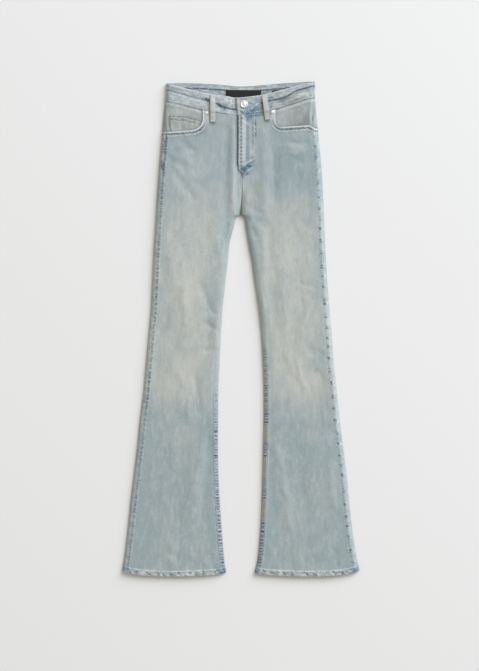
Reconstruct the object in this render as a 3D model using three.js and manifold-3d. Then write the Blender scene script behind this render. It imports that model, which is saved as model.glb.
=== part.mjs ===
// Flared jeans lying flat, front up, waist towards +Y, the wearer's left at +X. Millimetres.
// Each leg is a flattened tube: a back panel flat on the floor and a front panel that rounds down to it
// at the side seam and the inseam. Heights are worked out at each point from the outline and a few sizes.
import * as THREE from 'three';
import { mergeVertices } from 'three/addons/utils/BufferGeometryUtils.js';
import Module from 'manifold-3d';

const wasm = await Module();
wasm.setup();

// Cloth thicknesses
const denim = 1.5;
const bandCloth = 2.6;
const pocketCloth = 1.2;
const loopCloth = 1.8;
const flatLoopCloth = 1.0;
const labelCloth = 1.0;

// Clearances
const seamGap = 0.3;
const lapGap = 0.5;

// Levels above the floor of the front's edges, which stand on the back
const panelSeamLevel = denim + seamGap;
const bandSeamLevel = bandCloth + seamGap;
const bandProud = 0.8;

// How far in from a seam the cloth reaches its full height
const frontRound = 14;
const frontRoundAngles = [0, 30, 60, 90];
const quarterTurn = 90;

// Lengths along the body, measured up from the lowest point of the hem
const crotchY = 796;
const frontCrotchEase = 70;
const waistBaseY = 1015;
const yokeBaseY = 968;
const yokeRise = 40;
const yokeHalfWidth = 170;
const waistBendFromY = 900;
const yokeBendFromY = 870;
const hemBendHeight = 100;

// Low relief of sewn edges
const hemBandHeight = 12;
const hemBandRelief = 0.8;
const seamAllowanceFrom = 3;
const seamAllowanceTo = 11;
const seamRelief = 0.5;
const inseamReliefTopY = 400;

// Fly: the left front laps over the right front
const flyLap = denim + lapGap;
const lapFlatWidth = 7;
const lapRampEnd = 20;
const lapStartY = 872;
const lapFullY = 886;

// Outline of the side seams, seen from above
const sideSeams = [
  { y: 0, right: -264, left: 264 },
  { y: 36, right: -257.5, left: 255.5 },
  { y: 98, right: -250, left: 245.5 },
  { y: 160, right: -243.5, left: 238.5 },
  { y: 221, right: -236, left: 232.5 },
  { y: 283, right: -228.5, left: 225 },
  { y: 344, right: -222.5, left: 217 },
  { y: 406, right: -214.5, left: 211 },
  { y: 468, right: -209, left: 204 },
  { y: 529, right: -203.5, left: 200 },
  { y: 591, right: -198, left: 194.5 },
  { y: 652, right: -195, left: 190 },
  { y: 714, right: -192, left: 186 },
  { y: 776, right: -188, left: 183.5 },
  { y: 828, right: -185, left: 181 },
  { y: 894, right: -180.5, left: 177.5 },
  { y: 960, right: -174.8, left: 171.5 },
  { y: 1026, right: -169.3, left: 165.5 },
  { y: 1060, right: -165.6, left: 163.5 },
  { y: 1092, right: -164, left: 163 },
];

// Outline of the inseams
const inseams = [
  { y: 0, right: -31.5, left: 28 },
  { y: 36, right: -37, left: 36.5 },
  { y: 98, right: -42, left: 42.5 },
  { y: 160, right: -46.5, left: 45.5 },
  { y: 221, right: -49.5, left: 47.5 },
  { y: 283, right: -50.5, left: 49 },
  { y: 344, right: -50.5, left: 50.5 },
  { y: 406, right: -50, left: 50.5 },
  { y: 468, right: -47.5, left: 48.5 },
  { y: 529, right: -44.5, left: 45 },
  { y: 591, right: -40.5, left: 38.7 },
  { y: 652, right: -34, left: 29.5 },
  { y: 696, right: -29, left: 23.5 },
  { y: 720, right: -27, left: 18.8 },
  { y: 740, right: -24, left: 15.2 },
  { y: 758, right: -19.2, left: 12.4 },
  { y: 776, right: -14.6, left: 9.4 },
  { y: 786, right: -12.6, left: 8 },
  { y: 792, right: -8.5, left: 5 },
  { y: 796, right: -2, left: -2 },
];

// Centre seams above the crotch, with the edges of the fly
const centreEdges = [
  { y: 796, right: -2, left: -2, back: -2 },
  { y: 815, right: 0.5, left: 0.5, back: -1 },
  { y: 840, right: 2, left: 2, back: 0 },
  { y: 886, right: 2.5, left: 2.5, back: 0 },
  { y: 890, right: 1.6, left: 1, back: 0 },
  { y: 894, right: 0, left: -3, back: 0 },
  { y: 899, right: -1, left: -6, back: 0 },
  { y: 960, right: -1, left: -6, back: 0 },
  { y: 1030, right: -1, left: -6.5, back: 0 },
];

// Height of the hem above its lowest point, across a leg from the inseam to the side seam
const hemCurve = [
  { across: 0, y: 8 },
  { across: 0.1, y: 4 },
  { across: 0.3, y: 1 },
  { across: 0.5, y: 0 },
  { across: 0.75, y: 1.5 },
  { across: 0.9, y: 6 },
  { across: 1, y: 12 },
];

// Thickness of the whole garment on the floor
const heights = [
  { y: 0, top: 9 },
  { y: 300, top: 9.6 },
  { y: 600, top: 10.6 },
  { y: 850, top: 12 },
  { y: 1092, top: 12 },
];

// Front waistband: its seam, its top edge and the crease rolled into it, as a share of its width
const frontBand = [
  { x: -166, seam: 1045.7, top: 1084.6, crease: 0.65 },
  { x: -137, seam: 1039.7, top: 1078, crease: 0.6 },
  { x: -112, seam: 1033, top: 1071.6, crease: 0.57 },
  { x: -86.5, seam: 1027, top: 1065.6, crease: 0.57 },
  { x: -64, seam: 1022.8, top: 1061, crease: 0.55 },
  { x: -35, seam: 1018.2, top: 1057.5, crease: 0.34 },
  { x: -10, seam: 1014.6, top: 1053.8, crease: 0.34 },
  { x: 20, seam: 1018, top: 1056.2, crease: 0.5 },
  { x: 47, seam: 1021.5, top: 1060, crease: 0.56 },
  { x: 69, seam: 1026.6, top: 1065.4, crease: 0.54 },
  { x: 95, seam: 1033.5, top: 1072.3, crease: 0.49 },
  { x: 119, seam: 1041, top: 1078.6, crease: 0.7 },
  { x: 141.5, seam: 1049, top: 1085, crease: 0.69 },
  { x: 163, seam: 1053, top: 1088, crease: 0.77 },
];

// Back waistband: its seam and its top edge
const backBand = [
  { x: -166, seam: 1046, top: 1085.7 },
  { x: -134, seam: 1046.5, top: 1086.4 },
  { x: -90, seam: 1045.5, top: 1085.7 },
  { x: -46, seam: 1043, top: 1083.1 },
  { x: 0, seam: 1040, top: 1079.1 },
  { x: 42, seam: 1042, top: 1081.7 },
  { x: 86, seam: 1045.5, top: 1085.5 },
  { x: 130, seam: 1049.5, top: 1088.6 },
  { x: 163, seam: 1053, top: 1089.9 },
];

// Largest folds of the front: from one end to the other, half width, and height (troughs are negative)
const folds = [
  { x0: -31, y0: 982, x1: -33, y1: 700, width: 9, height: -1.2 },
  { x0: -17.5, y0: 982, x1: -18, y1: 830, width: 7, height: 0.8 },
  { x0: 46, y0: 975, x1: 53, y1: 795, width: 12, height: 0.9 },
  { x0: 75, y0: 938, x1: 75, y1: 828, width: 11, height: -0.9 },
  { x0: -130, y0: 956, x1: -106, y1: 935, width: 8, height: -1.1 },
  { x0: -146, y0: 935, x1: -130, y1: 910, width: 8, height: -1.1 },
  { x0: -145, y0: 886, x1: -106, y1: 833, width: 9, height: -1.1 },
  { x0: -90, y0: 641, x1: -62, y1: 580, width: 9, height: -1.1 },
  { x0: -70, y0: 549, x1: -74, y1: 501, width: 9, height: -0.9 },
  { x0: -125, y0: 641, x1: -125, y1: 509, width: 16, height: 0.9 },
  { x0: 46, y0: 707, x1: 52, y1: 564, width: 11, height: 0.9 },
  { x0: -93, y0: 263, x1: -104, y1: 130, width: 14, height: 0.9 },
  { x0: -69, y0: 324, x1: -70, y1: 223, width: 11, height: -0.9 },
  { x0: 196, y0: 243, x1: 205, y1: 162, width: 12, height: 0.9 },
];

// Scooped pocket mouths, x measured out from the centre
const pocketMouths = {
  right: {
    topX: 84, bendY: 1006, cornerX: 86.5, cornerY: 984.5,
    floorX: 110, floorY: 982, endX: 152, endY: 978.6, sideY: 979,
  },
  left: {
    topX: 76, bendY: 1004, cornerX: 77.5, cornerY: 989.3,
    floorX: 92, floorY: 989, endX: 151, endY: 993, sideY: 986,
  },
};
const facingUnderlap = 8;
const facingSideClear = 12;
const facingDrop = denim + lapGap;
const facingInnerX = 60;
const facingBaseY = 955;
const beyondX = 210;
const beyondY = 1100;

// Numbers of grid steps
const frontSpans = 10;
const backSpans = 8;
const facingSpans = 5;
const bandStep = 15;
const legRowStep = 36;
const backRowStep = 62;

const materials = {
  denim: new THREE.MeshStandardMaterial({ color: 0x9fadb0, roughness: 0.95, metalness: 0 }),
  facing: new THREE.MeshStandardMaterial({ color: 0x9aa2a1, roughness: 0.95, metalness: 0 }),
  label: new THREE.MeshStandardMaterial({ color: 0x17181a, roughness: 0.8, metalness: 0 }),
  metal: new THREE.MeshStandardMaterial({ color: 0xc9cccd, roughness: 0.3, metalness: 1 }),
  zip: new THREE.MeshStandardMaterial({ color: 0x8b9295, roughness: 0.6, metalness: 0.4 }),
};

const clamp = (value, low, high) => Math.min(Math.max(value, low), high);
const mix = (a, b, share) => a + (b - a) * share;
const ease = (value) => {
  const share = clamp(value, 0, 1);
  return share * share * (3 - 2 * share);
};
const radians = (degrees) => (degrees * Math.PI) / 180;

/** A smooth function through one column of a table. */
function column(rows, along, key) {
  const places = rows.map((row) => row[along]);
  const values = rows.map((row) => row[key]);
  const last = rows.length - 1;
  const slopes = values.map((_, i) => {
    const before = Math.max(i - 1, 0);
    const after = Math.min(i + 1, last);
    return (values[after] - values[before]) / (places[after] - places[before]);
  });
  return (place) => {
    const p = clamp(place, places[0], places[last]);
    let i = 0;
    while (i < last - 1 && p > places[i + 1]) i += 1;
    const span = places[i + 1] - places[i];
    const u = (p - places[i]) / span;
    const rise = values[i + 1] - values[i];
    const a = slopes[i] * span - rise;
    const b = rise - slopes[i + 1] * span;
    return values[i] + rise * u + u * (1 - u) * (a * (1 - u) + b * u);
  };
}

const sideX = { right: column(sideSeams, 'y', 'right'), left: column(sideSeams, 'y', 'left') };
const inseamX = { right: column(inseams, 'y', 'right'), left: column(inseams, 'y', 'left') };
const centreX = {
  right: column(centreEdges, 'y', 'right'),
  left: column(centreEdges, 'y', 'left'),
  back: column(centreEdges, 'y', 'back'),
};
const hemY = column(hemCurve, 'across', 'y');
const topHeight = column(heights, 'y', 'top');
const seamY = column(frontBand, 'x', 'seam');
const bandTopY = column(frontBand, 'x', 'top');
const bandCrease = column(frontBand, 'x', 'crease');
const backSeamY = column(backBand, 'x', 'seam');
const backTopY = column(backBand, 'x', 'top');
const outward = { right: -1, left: 1 };

/** Where a panel's edge beside the other leg lies. The two sides stand half a gap off each other. */
function innerX(side, y, centre = side) {
  const half = (outward[side] * seamGap) / 2;
  return (y < crotchY ? inseamX[side](y) : centreX[centre](y)) + half;
}

/** How much of its full height rounded cloth has, a distance in from its edge. */
function rounding(distance, radius) {
  const share = clamp(distance / radius, 0, 1);
  return Math.sqrt(share * (2 - share));
}

/** Height that the folds add at a point, fading at both ends of each fold. */
function foldHeight(x, y) {
  return folds.reduce((sum, fold) => {
    const dx = fold.x1 - fold.x0;
    const dy = fold.y1 - fold.y0;
    const along = ((x - fold.x0) * dx + (y - fold.y0) * dy) / (dx * dx + dy * dy);
    const u = clamp(along, 0, 1);
    const away = Math.hypot(x - fold.x0 - dx * u, y - fold.y0 - dy * u) / fold.width;
    return sum + fold.height * Math.exp(-away * away);
  }, 0);
}

/** A mesh from an indexed list of corners, its faces turned to point out. */
function bodyFrom(corners, faces) {
  let volume = 0;
  faces.forEach(([a, b, c]) => {
    const [p, q, r] = [corners[a], corners[b], corners[c]];
    volume += p[0] * (q[1] * r[2] - q[2] * r[1]);
    volume += p[1] * (q[2] * r[0] - q[0] * r[2]);
    volume += p[2] * (q[0] * r[1] - q[1] * r[0]);
  });
  const turned = volume < 0 ? faces.map(([a, b, c]) => [a, c, b]) : faces;
  const geometry = new THREE.BufferGeometry();
  geometry.setAttribute('position', new THREE.Float32BufferAttribute(corners.flat(), 3));
  geometry.setIndex(turned.flat());
  return geometry;
}

/** A closed sheet between two grids of points, an outer face and an inner face. */
function sheetBetween(outer, inner) {
  const rows = outer.length;
  const columns = outer[0].length;
  const faces = [];
  const at = (layer, row, col) => (layer * rows + row) * columns + col;
  const quad = (a, b, c, d) => faces.push([a, b, c], [a, c, d]);
  for (let row = 0; row < rows - 1; row += 1) {
    for (let col = 0; col < columns - 1; col += 1) {
      quad(at(0, row, col), at(0, row, col + 1), at(0, row + 1, col + 1), at(0, row + 1, col));
      quad(at(1, row, col), at(1, row + 1, col), at(1, row + 1, col + 1), at(1, row, col + 1));
    }
  }
  for (let row = 0; row < rows - 1; row += 1) {
    const end = columns - 1;
    quad(at(0, row, 0), at(0, row + 1, 0), at(1, row + 1, 0), at(1, row, 0));
    quad(at(0, row + 1, end), at(0, row, end), at(1, row, end), at(1, row + 1, end));
  }
  for (let col = 0; col < columns - 1; col += 1) {
    const end = rows - 1;
    quad(at(0, 0, col + 1), at(0, 0, col), at(1, 0, col), at(1, 0, col + 1));
    quad(at(0, end, col), at(0, end, col + 1), at(1, end, col + 1), at(1, end, col));
  }
  return bodyFrom([...outer.flat(), ...inner.flat()], faces);
}

/** A flat closed sheet on the floor over a grid of [x, y] points. */
function flatSheet(plan, thickness) {
  const layer = (z) => plan.map((row) => row.map(([x, y]) => [x, y, z]));
  return sheetBetween(layer(0), layer(thickness));
}

/** A closed mesh as a solid that can be cut and joined. */
function solidOf(geometry) {
  const bare = geometry.clone();
  bare.deleteAttribute('normal');
  bare.deleteAttribute('uv');
  const merged = mergeVertices(bare);
  return new wasm.Manifold(new wasm.Mesh({
    numProp: 3,
    vertProperties: new Float32Array(merged.attributes.position.array),
    triVerts: new Uint32Array(merged.index.array),
  }));
}

/** The mesh of a solid. */
function geometryOf(solid) {
  const mesh = solid.getMesh();
  const geometry = new THREE.BufferGeometry();
  geometry.setAttribute('position', new THREE.Float32BufferAttribute(mesh.vertProperties, 3));
  geometry.setIndex([...mesh.triVerts]);
  return geometry;
}

/** An upright prism over an outline given as [x, y] corners or as a THREE.Shape. */
function prism(outline, low, high, curveSegments = 5) {
  const shape = outline instanceof THREE.Shape
    ? outline
    : new THREE.Shape(outline.map(([x, y]) => new THREE.Vector2(x, y)));
  const geometry = new THREE.ExtrudeGeometry(shape, {
    depth: high - low, bevelEnabled: false, curveSegments,
  });
  return geometry.translate(0, 0, low);
}

/** Columns of a panel: close together where it rounds at its two edges, even between them. */
function columnsFor(angles, radius, spans) {
  const steps = angles.map((angle) => radius * (1 - Math.cos(radians(angle))));
  const between = Array.from({ length: spans - 1 }, (_, i) => (i + 1) / spans);
  return [
    ...steps.map((d) => (inner, outer, way) => inner + way * d),
    ...between.map((share) => (inner, outer, way) => mix(
      inner + way * radius,
      outer - way * radius,
      share,
    )),
    ...steps.toReversed().map((d) => (inner, outer, way) => outer - way * d),
  ];
}

/** Where a grid point of a panel lies in plan, when its row bends with the hem or the waist. */
function planPoint(place, side, base, bend, centre) {
  let y = base;
  let x = 0;
  for (let pass = 0; pass < 5; pass += 1) {
    const inner = innerX(side, y, centre);
    const outer = sideX[side](y);
    x = place(inner, outer, outward[side]);
    y = base + bend(base, x, (x - inner) / (outer - inner));
  }
  return [x, y];
}

const hemBend = (base, across) => hemY(across) * (1 - ease(base / hemBendHeight));
const bendTo = (target, from, to) => (base, x) => (target(x) - to) * ease((base - from) / (to - from));

/** Height of the front's outer face and its inner face at a point, with where the inner one moves. */
function frontFaces(side, x, y, options = {}) {
  const { wall = denim, drop = 0, proud = 0, level = panelSeamLevel, crotch = true } = options;
  const way = outward[side];
  const fromSide = way * (sideX[side](y) - x);
  const fromInner = crotch ? way * (x - innerX(side, y)) : frontRound;
  const closed = y < crotchY ? 1 : 1 - ease((y - crotchY) / frontCrotchEase);
  const share = rounding(fromSide, frontRound)
    * (1 - closed + closed * rounding(fromInner, frontRound));
  const full = topHeight(y) + proud - drop - level + foldHeight(x, y);
  const sideShift = wall * (1 - clamp(fromSide / frontRound, 0, 1));
  const innerShift = wall * closed * (1 - clamp(fromInner / frontRound, 0, 1));
  return {
    outer: level + full * share,
    inner: level + (full - wall) * share,
    shift: way * (innerShift - sideShift),
    fromSide,
    fromInner,
  };
}

/** Low relief on a front panel: the hem, the side seam's allowance and the felled inseam. */
function frontRelief(base, y, faces) {
  const inAllowance = (d) => d > seamAllowanceFrom && d < seamAllowanceTo;
  const hem = base < hemBandHeight ? hemBandRelief : 0;
  const sideRidge = inAllowance(faces.fromSide) ? seamRelief : 0;
  const inseamRidge = y < inseamReliefTopY && inAllowance(faces.fromInner) ? seamRelief : 0;
  return hem + sideRidge + inseamRidge;
}

/** How far the right front sinks under the left front along the fly. */
function lapDepth(side, y, faces) {
  if (side === 'left' || y < lapStartY) return 0;
  const up = ease((y - lapStartY) / (lapFullY - lapStartY));
  const across = 1 - ease((faces.fromInner - lapFlatWidth) / (lapRampEnd - lapFlatWidth));
  return flyLap * up * across;
}

const legRows = Array.from({ length: 20 }, (_, i) => 48 + i * legRowStep);
const frontRows = [
  0, 11.4, 12.6, ...legRows, 776, 786, 792, 796, 812, 830, 851, 872, 886, 890, 894, 899,
  918, 940, 962, 984, 1000, waistBaseY,
].filter((row, i, rows) => i === 0 || row > rows[i - 1]);

/** One front leg panel, before its pocket mouth is cut. */
function frontPanel(side) {
  const toSeam = bendTo((x) => seamY(x) - seamGap / 2, waistBendFromY, waistBaseY);
  const bend = (base, x, across) => hemBend(base, across) + toSeam(base, x);
  const places = columnsFor(frontRoundAngles, frontRound, frontSpans);
  const grids = { outer: [], inner: [] };
  frontRows.forEach((base) => {
    const points = places.map((place) => {
      const [x, y] = planPoint(place, side, base, bend, side);
      const faces = frontFaces(side, x, y);
      const lap = lapDepth(side, y, faces);
      return {
        outer: [x, y, faces.outer + frontRelief(base, y, faces) - lap],
        inner: [x + faces.shift, y, faces.inner - lap],
      };
    });
    grids.outer.push(points.map((point) => point.outer));
    grids.inner.push(points.map((point) => point.inner));
  });
  return sheetBetween(grids.outer, grids.inner);
}

/** A piece of the back, flat on the floor. */
function backPiece(side, rows, bend) {
  const places = Array.from(
    { length: backSpans + 1 },
    (_, i) => (inner, outer) => mix(inner, outer, i / backSpans),
  );
  const plan = rows.map((base) => places.map((place) => planPoint(place, side, base, bend, 'back')));
  return flatSheet(plan, denim);
}

const yokeY = (x) => yokeBaseY + yokeRise * clamp(Math.abs(x) / yokeHalfWidth, 0, 1);

const backRows = [
  0, 40, ...Array.from({ length: 11 }, (_, i) => 98 + i * backRowStep), 776, 786, 792, 796, 806, 818,
  834, 870, 902, 935, yokeBaseY,
];

/** One back leg panel, before its pocket is let in. */
function backPanel(side) {
  const toYoke = bendTo((x) => yokeY(x) - seamGap / 2, yokeBendFromY, yokeBaseY);
  const bend = (base, x, across) => hemBend(base, across) + toYoke(base, x);
  return backPiece(side, backRows, bend);
}

/** One half of the yoke, between the back panel and the waistband. */
function yokePiece(side) {
  const middle = 1006;
  const top = 1041;
  const bend = (base, x) => {
    const low = yokeY(x) + seamGap / 2;
    const high = backSeamY(x) - seamGap / 2;
    return mix(low, high, (base - yokeBaseY) / (top - yokeBaseY)) - base;
  };
  return backPiece(side, [yokeBaseY, middle, top], bend);
}

/** The outline above a pocket mouth, grown past the mouth by a margin. */
function mouthOutline(side, grow, startFrom = beyondY) {
  const mouth = pocketMouths[side];
  const way = outward[side];
  const shape = new THREE.Shape();
  shape.moveTo(way * (mouth.topX - grow), startFrom);
  shape.lineTo(way * (mouth.topX - grow), mouth.bendY - grow);
  shape.quadraticCurveTo(
    way * (mouth.cornerX - grow),
    mouth.cornerY - grow,
    way * mouth.floorX,
    mouth.floorY - grow,
  );
  shape.lineTo(way * mouth.endX, mouth.endY - grow);
  shape.lineTo(way * (mouth.endX + facingSideClear), mouth.sideY - grow);
  shape.lineTo(way * beyondX, mouth.sideY - grow);
  shape.lineTo(way * beyondX, startFrom);
  return shape;
}

/** A patch that follows the facing's surface, from one layer above it to another. */
function facingPatch(side, outerLift, wall) {
  const way = outward[side];
  const seam = bendTo((x) => seamY(x) - seamGap / 2, facingBaseY, waistBaseY);
  const places = columnsFor(frontRoundAngles, frontRound, facingSpans).slice(frontRoundAngles.length);
  const grids = { outer: [], inner: [] };
  [facingBaseY, 975, 995, waistBaseY].forEach((base) => {
    const points = [(inner) => inner, ...places].map((place) => {
      let y = base;
      let x = 0;
      for (let pass = 0; pass < 5; pass += 1) {
        x = place(way * facingInnerX, sideX[side](y), way);
        y = base + seam(base, x);
      }
      const options = { wall, drop: facingDrop - outerLift, crotch: false };
      const faces = frontFaces(side, x, y, options);
      return {
        outer: [x, y, faces.outer],
        inner: [x + faces.shift, y, faces.inner],
      };
    });
    grids.outer.push(points.map((point) => point.outer));
    grids.inner.push(points.map((point) => point.inner));
  });
  return sheetBetween(grids.outer, grids.inner);
}

/** The facing seen in a pocket mouth: tucked under the front, and short of it at the side seam. */
function pocketFacing(side) {
  const way = outward[side];
  const mouth = pocketMouths[side];
  const below = -50;
  const above = 50;
  const tucked = solidOf(prism(mouthOutline(side, facingUnderlap), below, above));
  const clear = solidOf(prism(mouthOutline(side, -seamGap), below, above));
  const sideZone = solidOf(prism([
    [way * (mouth.endX + 2), facingBaseY - 10],
    [way * beyondX, facingBaseY - 10],
    [way * beyondX, beyondY],
    [way * (mouth.endX + 2), beyondY],
  ], below, above));
  const region = tucked.subtract(sideZone).add(clear);
  return geometryOf(solidOf(facingPatch(side, 0, denim)).intersect(region));
}

/** The small coin pocket on the right facing, its lower edge under the pocket mouth. */
function coinPocket() {
  const outline = [
    [-158.5, 1014], [-123, 1011], [-97, 1004.5], [-80, 998], [-80, 965], [-153.5, 965],
  ];
  const lift = seamGap + pocketCloth;
  const low = 0;
  const high = 50;
  const clear = solidOf(prism(mouthOutline('right', -seamGap), low, high));
  const patch = solidOf(facingPatch('right', lift, pocketCloth));
  return geometryOf(patch.intersect(solidOf(prism(outline, low, high))).intersect(clear));
}

// Waistband ends at the centre front
const tabEdge = { topX: -10, bottomX: -6.5 };
const underBandEndX = 13;
const underBandDrop = bandCloth + seamGap + 0.1;
const underBandRamp = { from: -32, to: -13 };
const creaseDepth = 1.1;
const creaseDepthInside = 0.5;
const creaseHalfWidth = 0.17;
const bandEdgeSoftness = { seam: 0.5, top: 0.9 };
const bandEdgeShare = 0.08;

/** Rows of the front waistband, as shares of its width, with three on its crease. */
function bandShares(x) {
  const crease = bandCrease(x);
  return [
    { v: 0, relief: -bandEdgeSoftness.seam, inside: 0 },
    { v: bandEdgeShare, relief: 0, inside: 0 },
    { v: crease - creaseHalfWidth, relief: 0.2, inside: 0 },
    { v: crease, relief: -creaseDepth, inside: -creaseDepthInside },
    { v: crease + creaseHalfWidth, relief: 0.2, inside: 0 },
    { v: 1 - bandEdgeShare * 0.5, relief: 0, inside: 0 },
    { v: 1, relief: -bandEdgeSoftness.top, inside: 0 },
  ];
}

/** One half of the front waistband, from the side seam to its end at the centre front. */
function frontBandPiece(side) {
  const way = outward[side];
  const steps = frontRoundAngles.map((angle) => frontRound * (1 - Math.cos(radians(angle))));
  const endX = side === 'left' ? tabEdge.bottomX : underBandEndX;
  const length = Math.abs(endX - sideX[side](waistBaseY)) - frontRound;
  const spans = Math.round(length / bandStep);
  const places = [
    ...Array.from({ length: spans }, (_, i) => (end, outer) => mix(
      end,
      outer - way * frontRound,
      i / spans,
    )),
    ...steps.toReversed().map((d) => (end, outer) => outer - way * d),
  ];
  const rowCount = bandShares(0).length;
  const grids = { outer: [], inner: [] };
  for (let row = 0; row < rowCount; row += 1) {
    const points = places.map((place) => {
      let y = waistBaseY;
      let x = endX;
      let relief = 0;
      let inside = 0;
      for (let pass = 0; pass < 5; pass += 1) {
        const share = bandShares(x)[row];
        const end = side === 'left' ? mix(tabEdge.bottomX, tabEdge.topX, share.v) : endX;
        x = place(end, sideX[side](y));
        y = mix(seamY(x) + seamGap / 2, bandTopY(x), share.v);
        relief = share.relief;
        inside = share.inside;
      }
      const options = { wall: bandCloth, proud: bandProud, level: bandSeamLevel, crotch: false };
      const faces = frontFaces(side, x, y, options);
      const rounded = rounding(faces.fromSide, frontRound);
      const ramp = (x - underBandRamp.from) / (underBandRamp.to - underBandRamp.from);
      const drop = side === 'right' ? underBandDrop * ease(ramp) : 0;
      return {
        outer: [x, y, faces.outer + relief * rounded - drop],
        inner: [x + faces.shift, y, faces.inner + inside * rounded - drop],
      };
    });
    grids.outer.push(points.map((point) => point.outer));
    grids.inner.push(points.map((point) => point.inner));
  }
  return sheetBetween(grids.outer, grids.inner);
}

/** The back waistband, flat on the floor from side seam to side seam. */
function backBandPiece() {
  const spans = 20;
  const plan = [0, 1].map((share) => Array.from({ length: spans + 1 }, (_, i) => {
    let y = waistBaseY;
    let x = 0;
    for (let pass = 0; pass < 5; pass += 1) {
      x = mix(sideX.right(y), sideX.left(y), i / spans);
      y = mix(backSeamY(x) + seamGap / 2, backTopY(x), share);
    }
    return [x, y];
  }));
  return flatSheet(plan, bandCloth);
}

// Belt loops: the two at the front arch over the waistband, the three behind are pressed flat
const loopWidth = 11.5;
const loopArch = 3.2;
const frontLoops = {
  right: { topX: -62, topY: 1059.5, bottomX: -62, bottomY: 999.5 },
  left: { topX: 51.7, topY: 1059, bottomX: 58.5, bottomY: 1004.5 },
};
const backLoops = [
  { name: 'belt_loop_back_right', x: -84 },
  { name: 'belt_loop_back_centre', x: 4 },
  { name: 'belt_loop_back_left', x: 94 },
];

/** Top of the cloth at a point of the front, the waistband above its seam and the panel below. */
function clothTop(side, x, y) {
  const onBand = y > seamY(x) - loopCloth;
  const options = onBand ? { proud: bandProud, level: bandSeamLevel } : {};
  return frontFaces(side, x, y, { ...options, crotch: false }).outer;
}

/** A front belt loop: sewn down at both ends and standing clear of the waistband between them. */
function frontLoop(side) {
  const loop = frontLoops[side];
  const stations = [0, 0.04, 0.1, 0.2, 0.35, 0.5, 0.65, 0.74, 0.86, 0.94, 1];
  const grids = { outer: [], inner: [] };
  stations.forEach((u) => {
    const x = mix(loop.bottomX, loop.topX, u);
    const y = mix(loop.bottomY, loop.topY, u);
    const arch = loopArch * ease(u / 0.45) * ease((1 - u) / 0.3);
    const low = clothTop(side, x, y) + seamGap + arch;
    const across = [-loopWidth / 2, -loopWidth / 6, loopWidth / 6, loopWidth / 2];
    const crown = (d) => 0.25 * (1 - (2 * d / loopWidth) ** 2);
    grids.outer.push(across.map((d) => [x + d, y, low + loopCloth + crown(d)]));
    grids.inner.push(across.map((d) => [x + d, y, low]));
  });
  return sheetBetween(grids.outer, grids.inner);
}

/** The outline of a back belt loop with a margin round it. */
function backLoopOutline(x, margin) {
  const half = loopWidth / 2 + margin;
  const low = backSeamY(x) + 1.5 - margin;
  const high = backTopY(x) - 1.5 + margin;
  return [[x - half, low], [x + half, low], [x + half, high], [x - half, high]];
}

// Back patch pockets, let into the underside so that the jeans rest flat
const backPocket = { centreX: 88, topY: 966, width: 128, height: 142, point: 24, taper: 8, tilt: 3 };

/** The five corners of a back pocket with a margin round it. */
function backPocketOutline(side, margin) {
  const half = backPocket.width / 2 + margin;
  const low = half - backPocket.taper;
  const top = margin;
  const shoulder = backPocket.point - backPocket.height - margin * 0.4;
  const tip = -backPocket.height - margin * 1.1;
  const corners = [[-half, top], [half, top], [low, shoulder], [0, tip], [-low, shoulder]];
  const turn = radians(outward[side] * backPocket.tilt);
  return corners.map(([x, y]) => [
    outward[side] * backPocket.centreX + x * Math.cos(turn) - y * Math.sin(turn),
    backPocket.topY + x * Math.sin(turn) + y * Math.cos(turn),
  ]);
}

/** A back panel with a shallow bed for its pocket: raised above it and open below it. */
function backPanelWithBed(side) {
  const wallWidth = 3;
  const bedHeight = pocketCloth + seamGap;
  const raised = prism(backPocketOutline(side, wallWidth), 0, bedHeight + denim);
  const bed = prism(backPocketOutline(side, seamGap), -1, bedHeight);
  return geometryOf(solidOf(backPanel(side)).add(solidOf(raised)).subtract(solidOf(bed)));
}

// Metal parts
const button = { x: 6.8, y: 1039.2, radius: 8.2, height: 3, shankRadius: 2.4, hole: 3 };
const buttonhole = { endX: 20, width: 2.8 };
const rivet = { radius: 4, height: 1.7 };
const rivets = {
  right: { x: -75.5, y: 1020.4 },
  left: { x: 69.5, y: 1022.2 },
};
const lathe = (profile, segments) => new THREE.LatheGeometry(
  profile.map(([radius, height]) => new THREE.Vector2(radius, height)),
  segments,
).rotateX(radians(quarterTurn));

/** The tab's buttonhole: a round end for the shank and a narrow slit. */
function buttonholeCutter() {
  const shape = new THREE.Shape();
  const slit = Math.asin(buttonhole.width / 2 / button.hole);
  shape.absarc(button.x, button.y, button.hole, slit, 2 * Math.PI - slit, false);
  shape.lineTo(buttonhole.endX, button.y - buttonhole.width / 2);
  shape.lineTo(buttonhole.endX, button.y + buttonhole.width / 2);
  return prism(shape, 0, 30, 10);
}

/** The shank button: a domed cap with a rim, on a shank that stands over the button end. */
function buttonBody() {
  const capLow = topHeight(button.y) + bandProud + seamGap;
  const shankLow = topHeight(button.y) + bandProud - underBandDrop + seamGap;
  const r = button.radius;
  const profile = [
    [0, shankLow],
    [button.shankRadius, shankLow],
    [button.shankRadius, capLow],
    [r - 0.6, capLow],
    [r, capLow + 0.7],
    [r - 0.5, capLow + 1.7],
    [r - 1.6, capLow + 2.2],
    [r - 2.4, capLow + 1.7],
    [r * 0.35, capLow + 2.4],
    [0, capLow + button.height - 0.4],
  ];
  return lathe(profile, 28).translate(button.x, button.y, 0);
}

/** A rivet's domed cap on the corner of a pocket mouth. */
function rivetBody(side) {
  const { x, y } = rivets[side];
  const low = clothTop(side, x, y) + seamGap;
  const r = rivet.radius;
  const profile = [
    [0, low],
    [r - 0.3, low],
    [r, low + 0.5],
    [r * 0.8, low + 1.1],
    [r * 0.45, low + 1.2],
    [r * 0.25, low + rivet.height],
    [0, low + rivet.height],
  ];
  return lathe(profile, 18).translate(x, y, 0);
}

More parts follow.
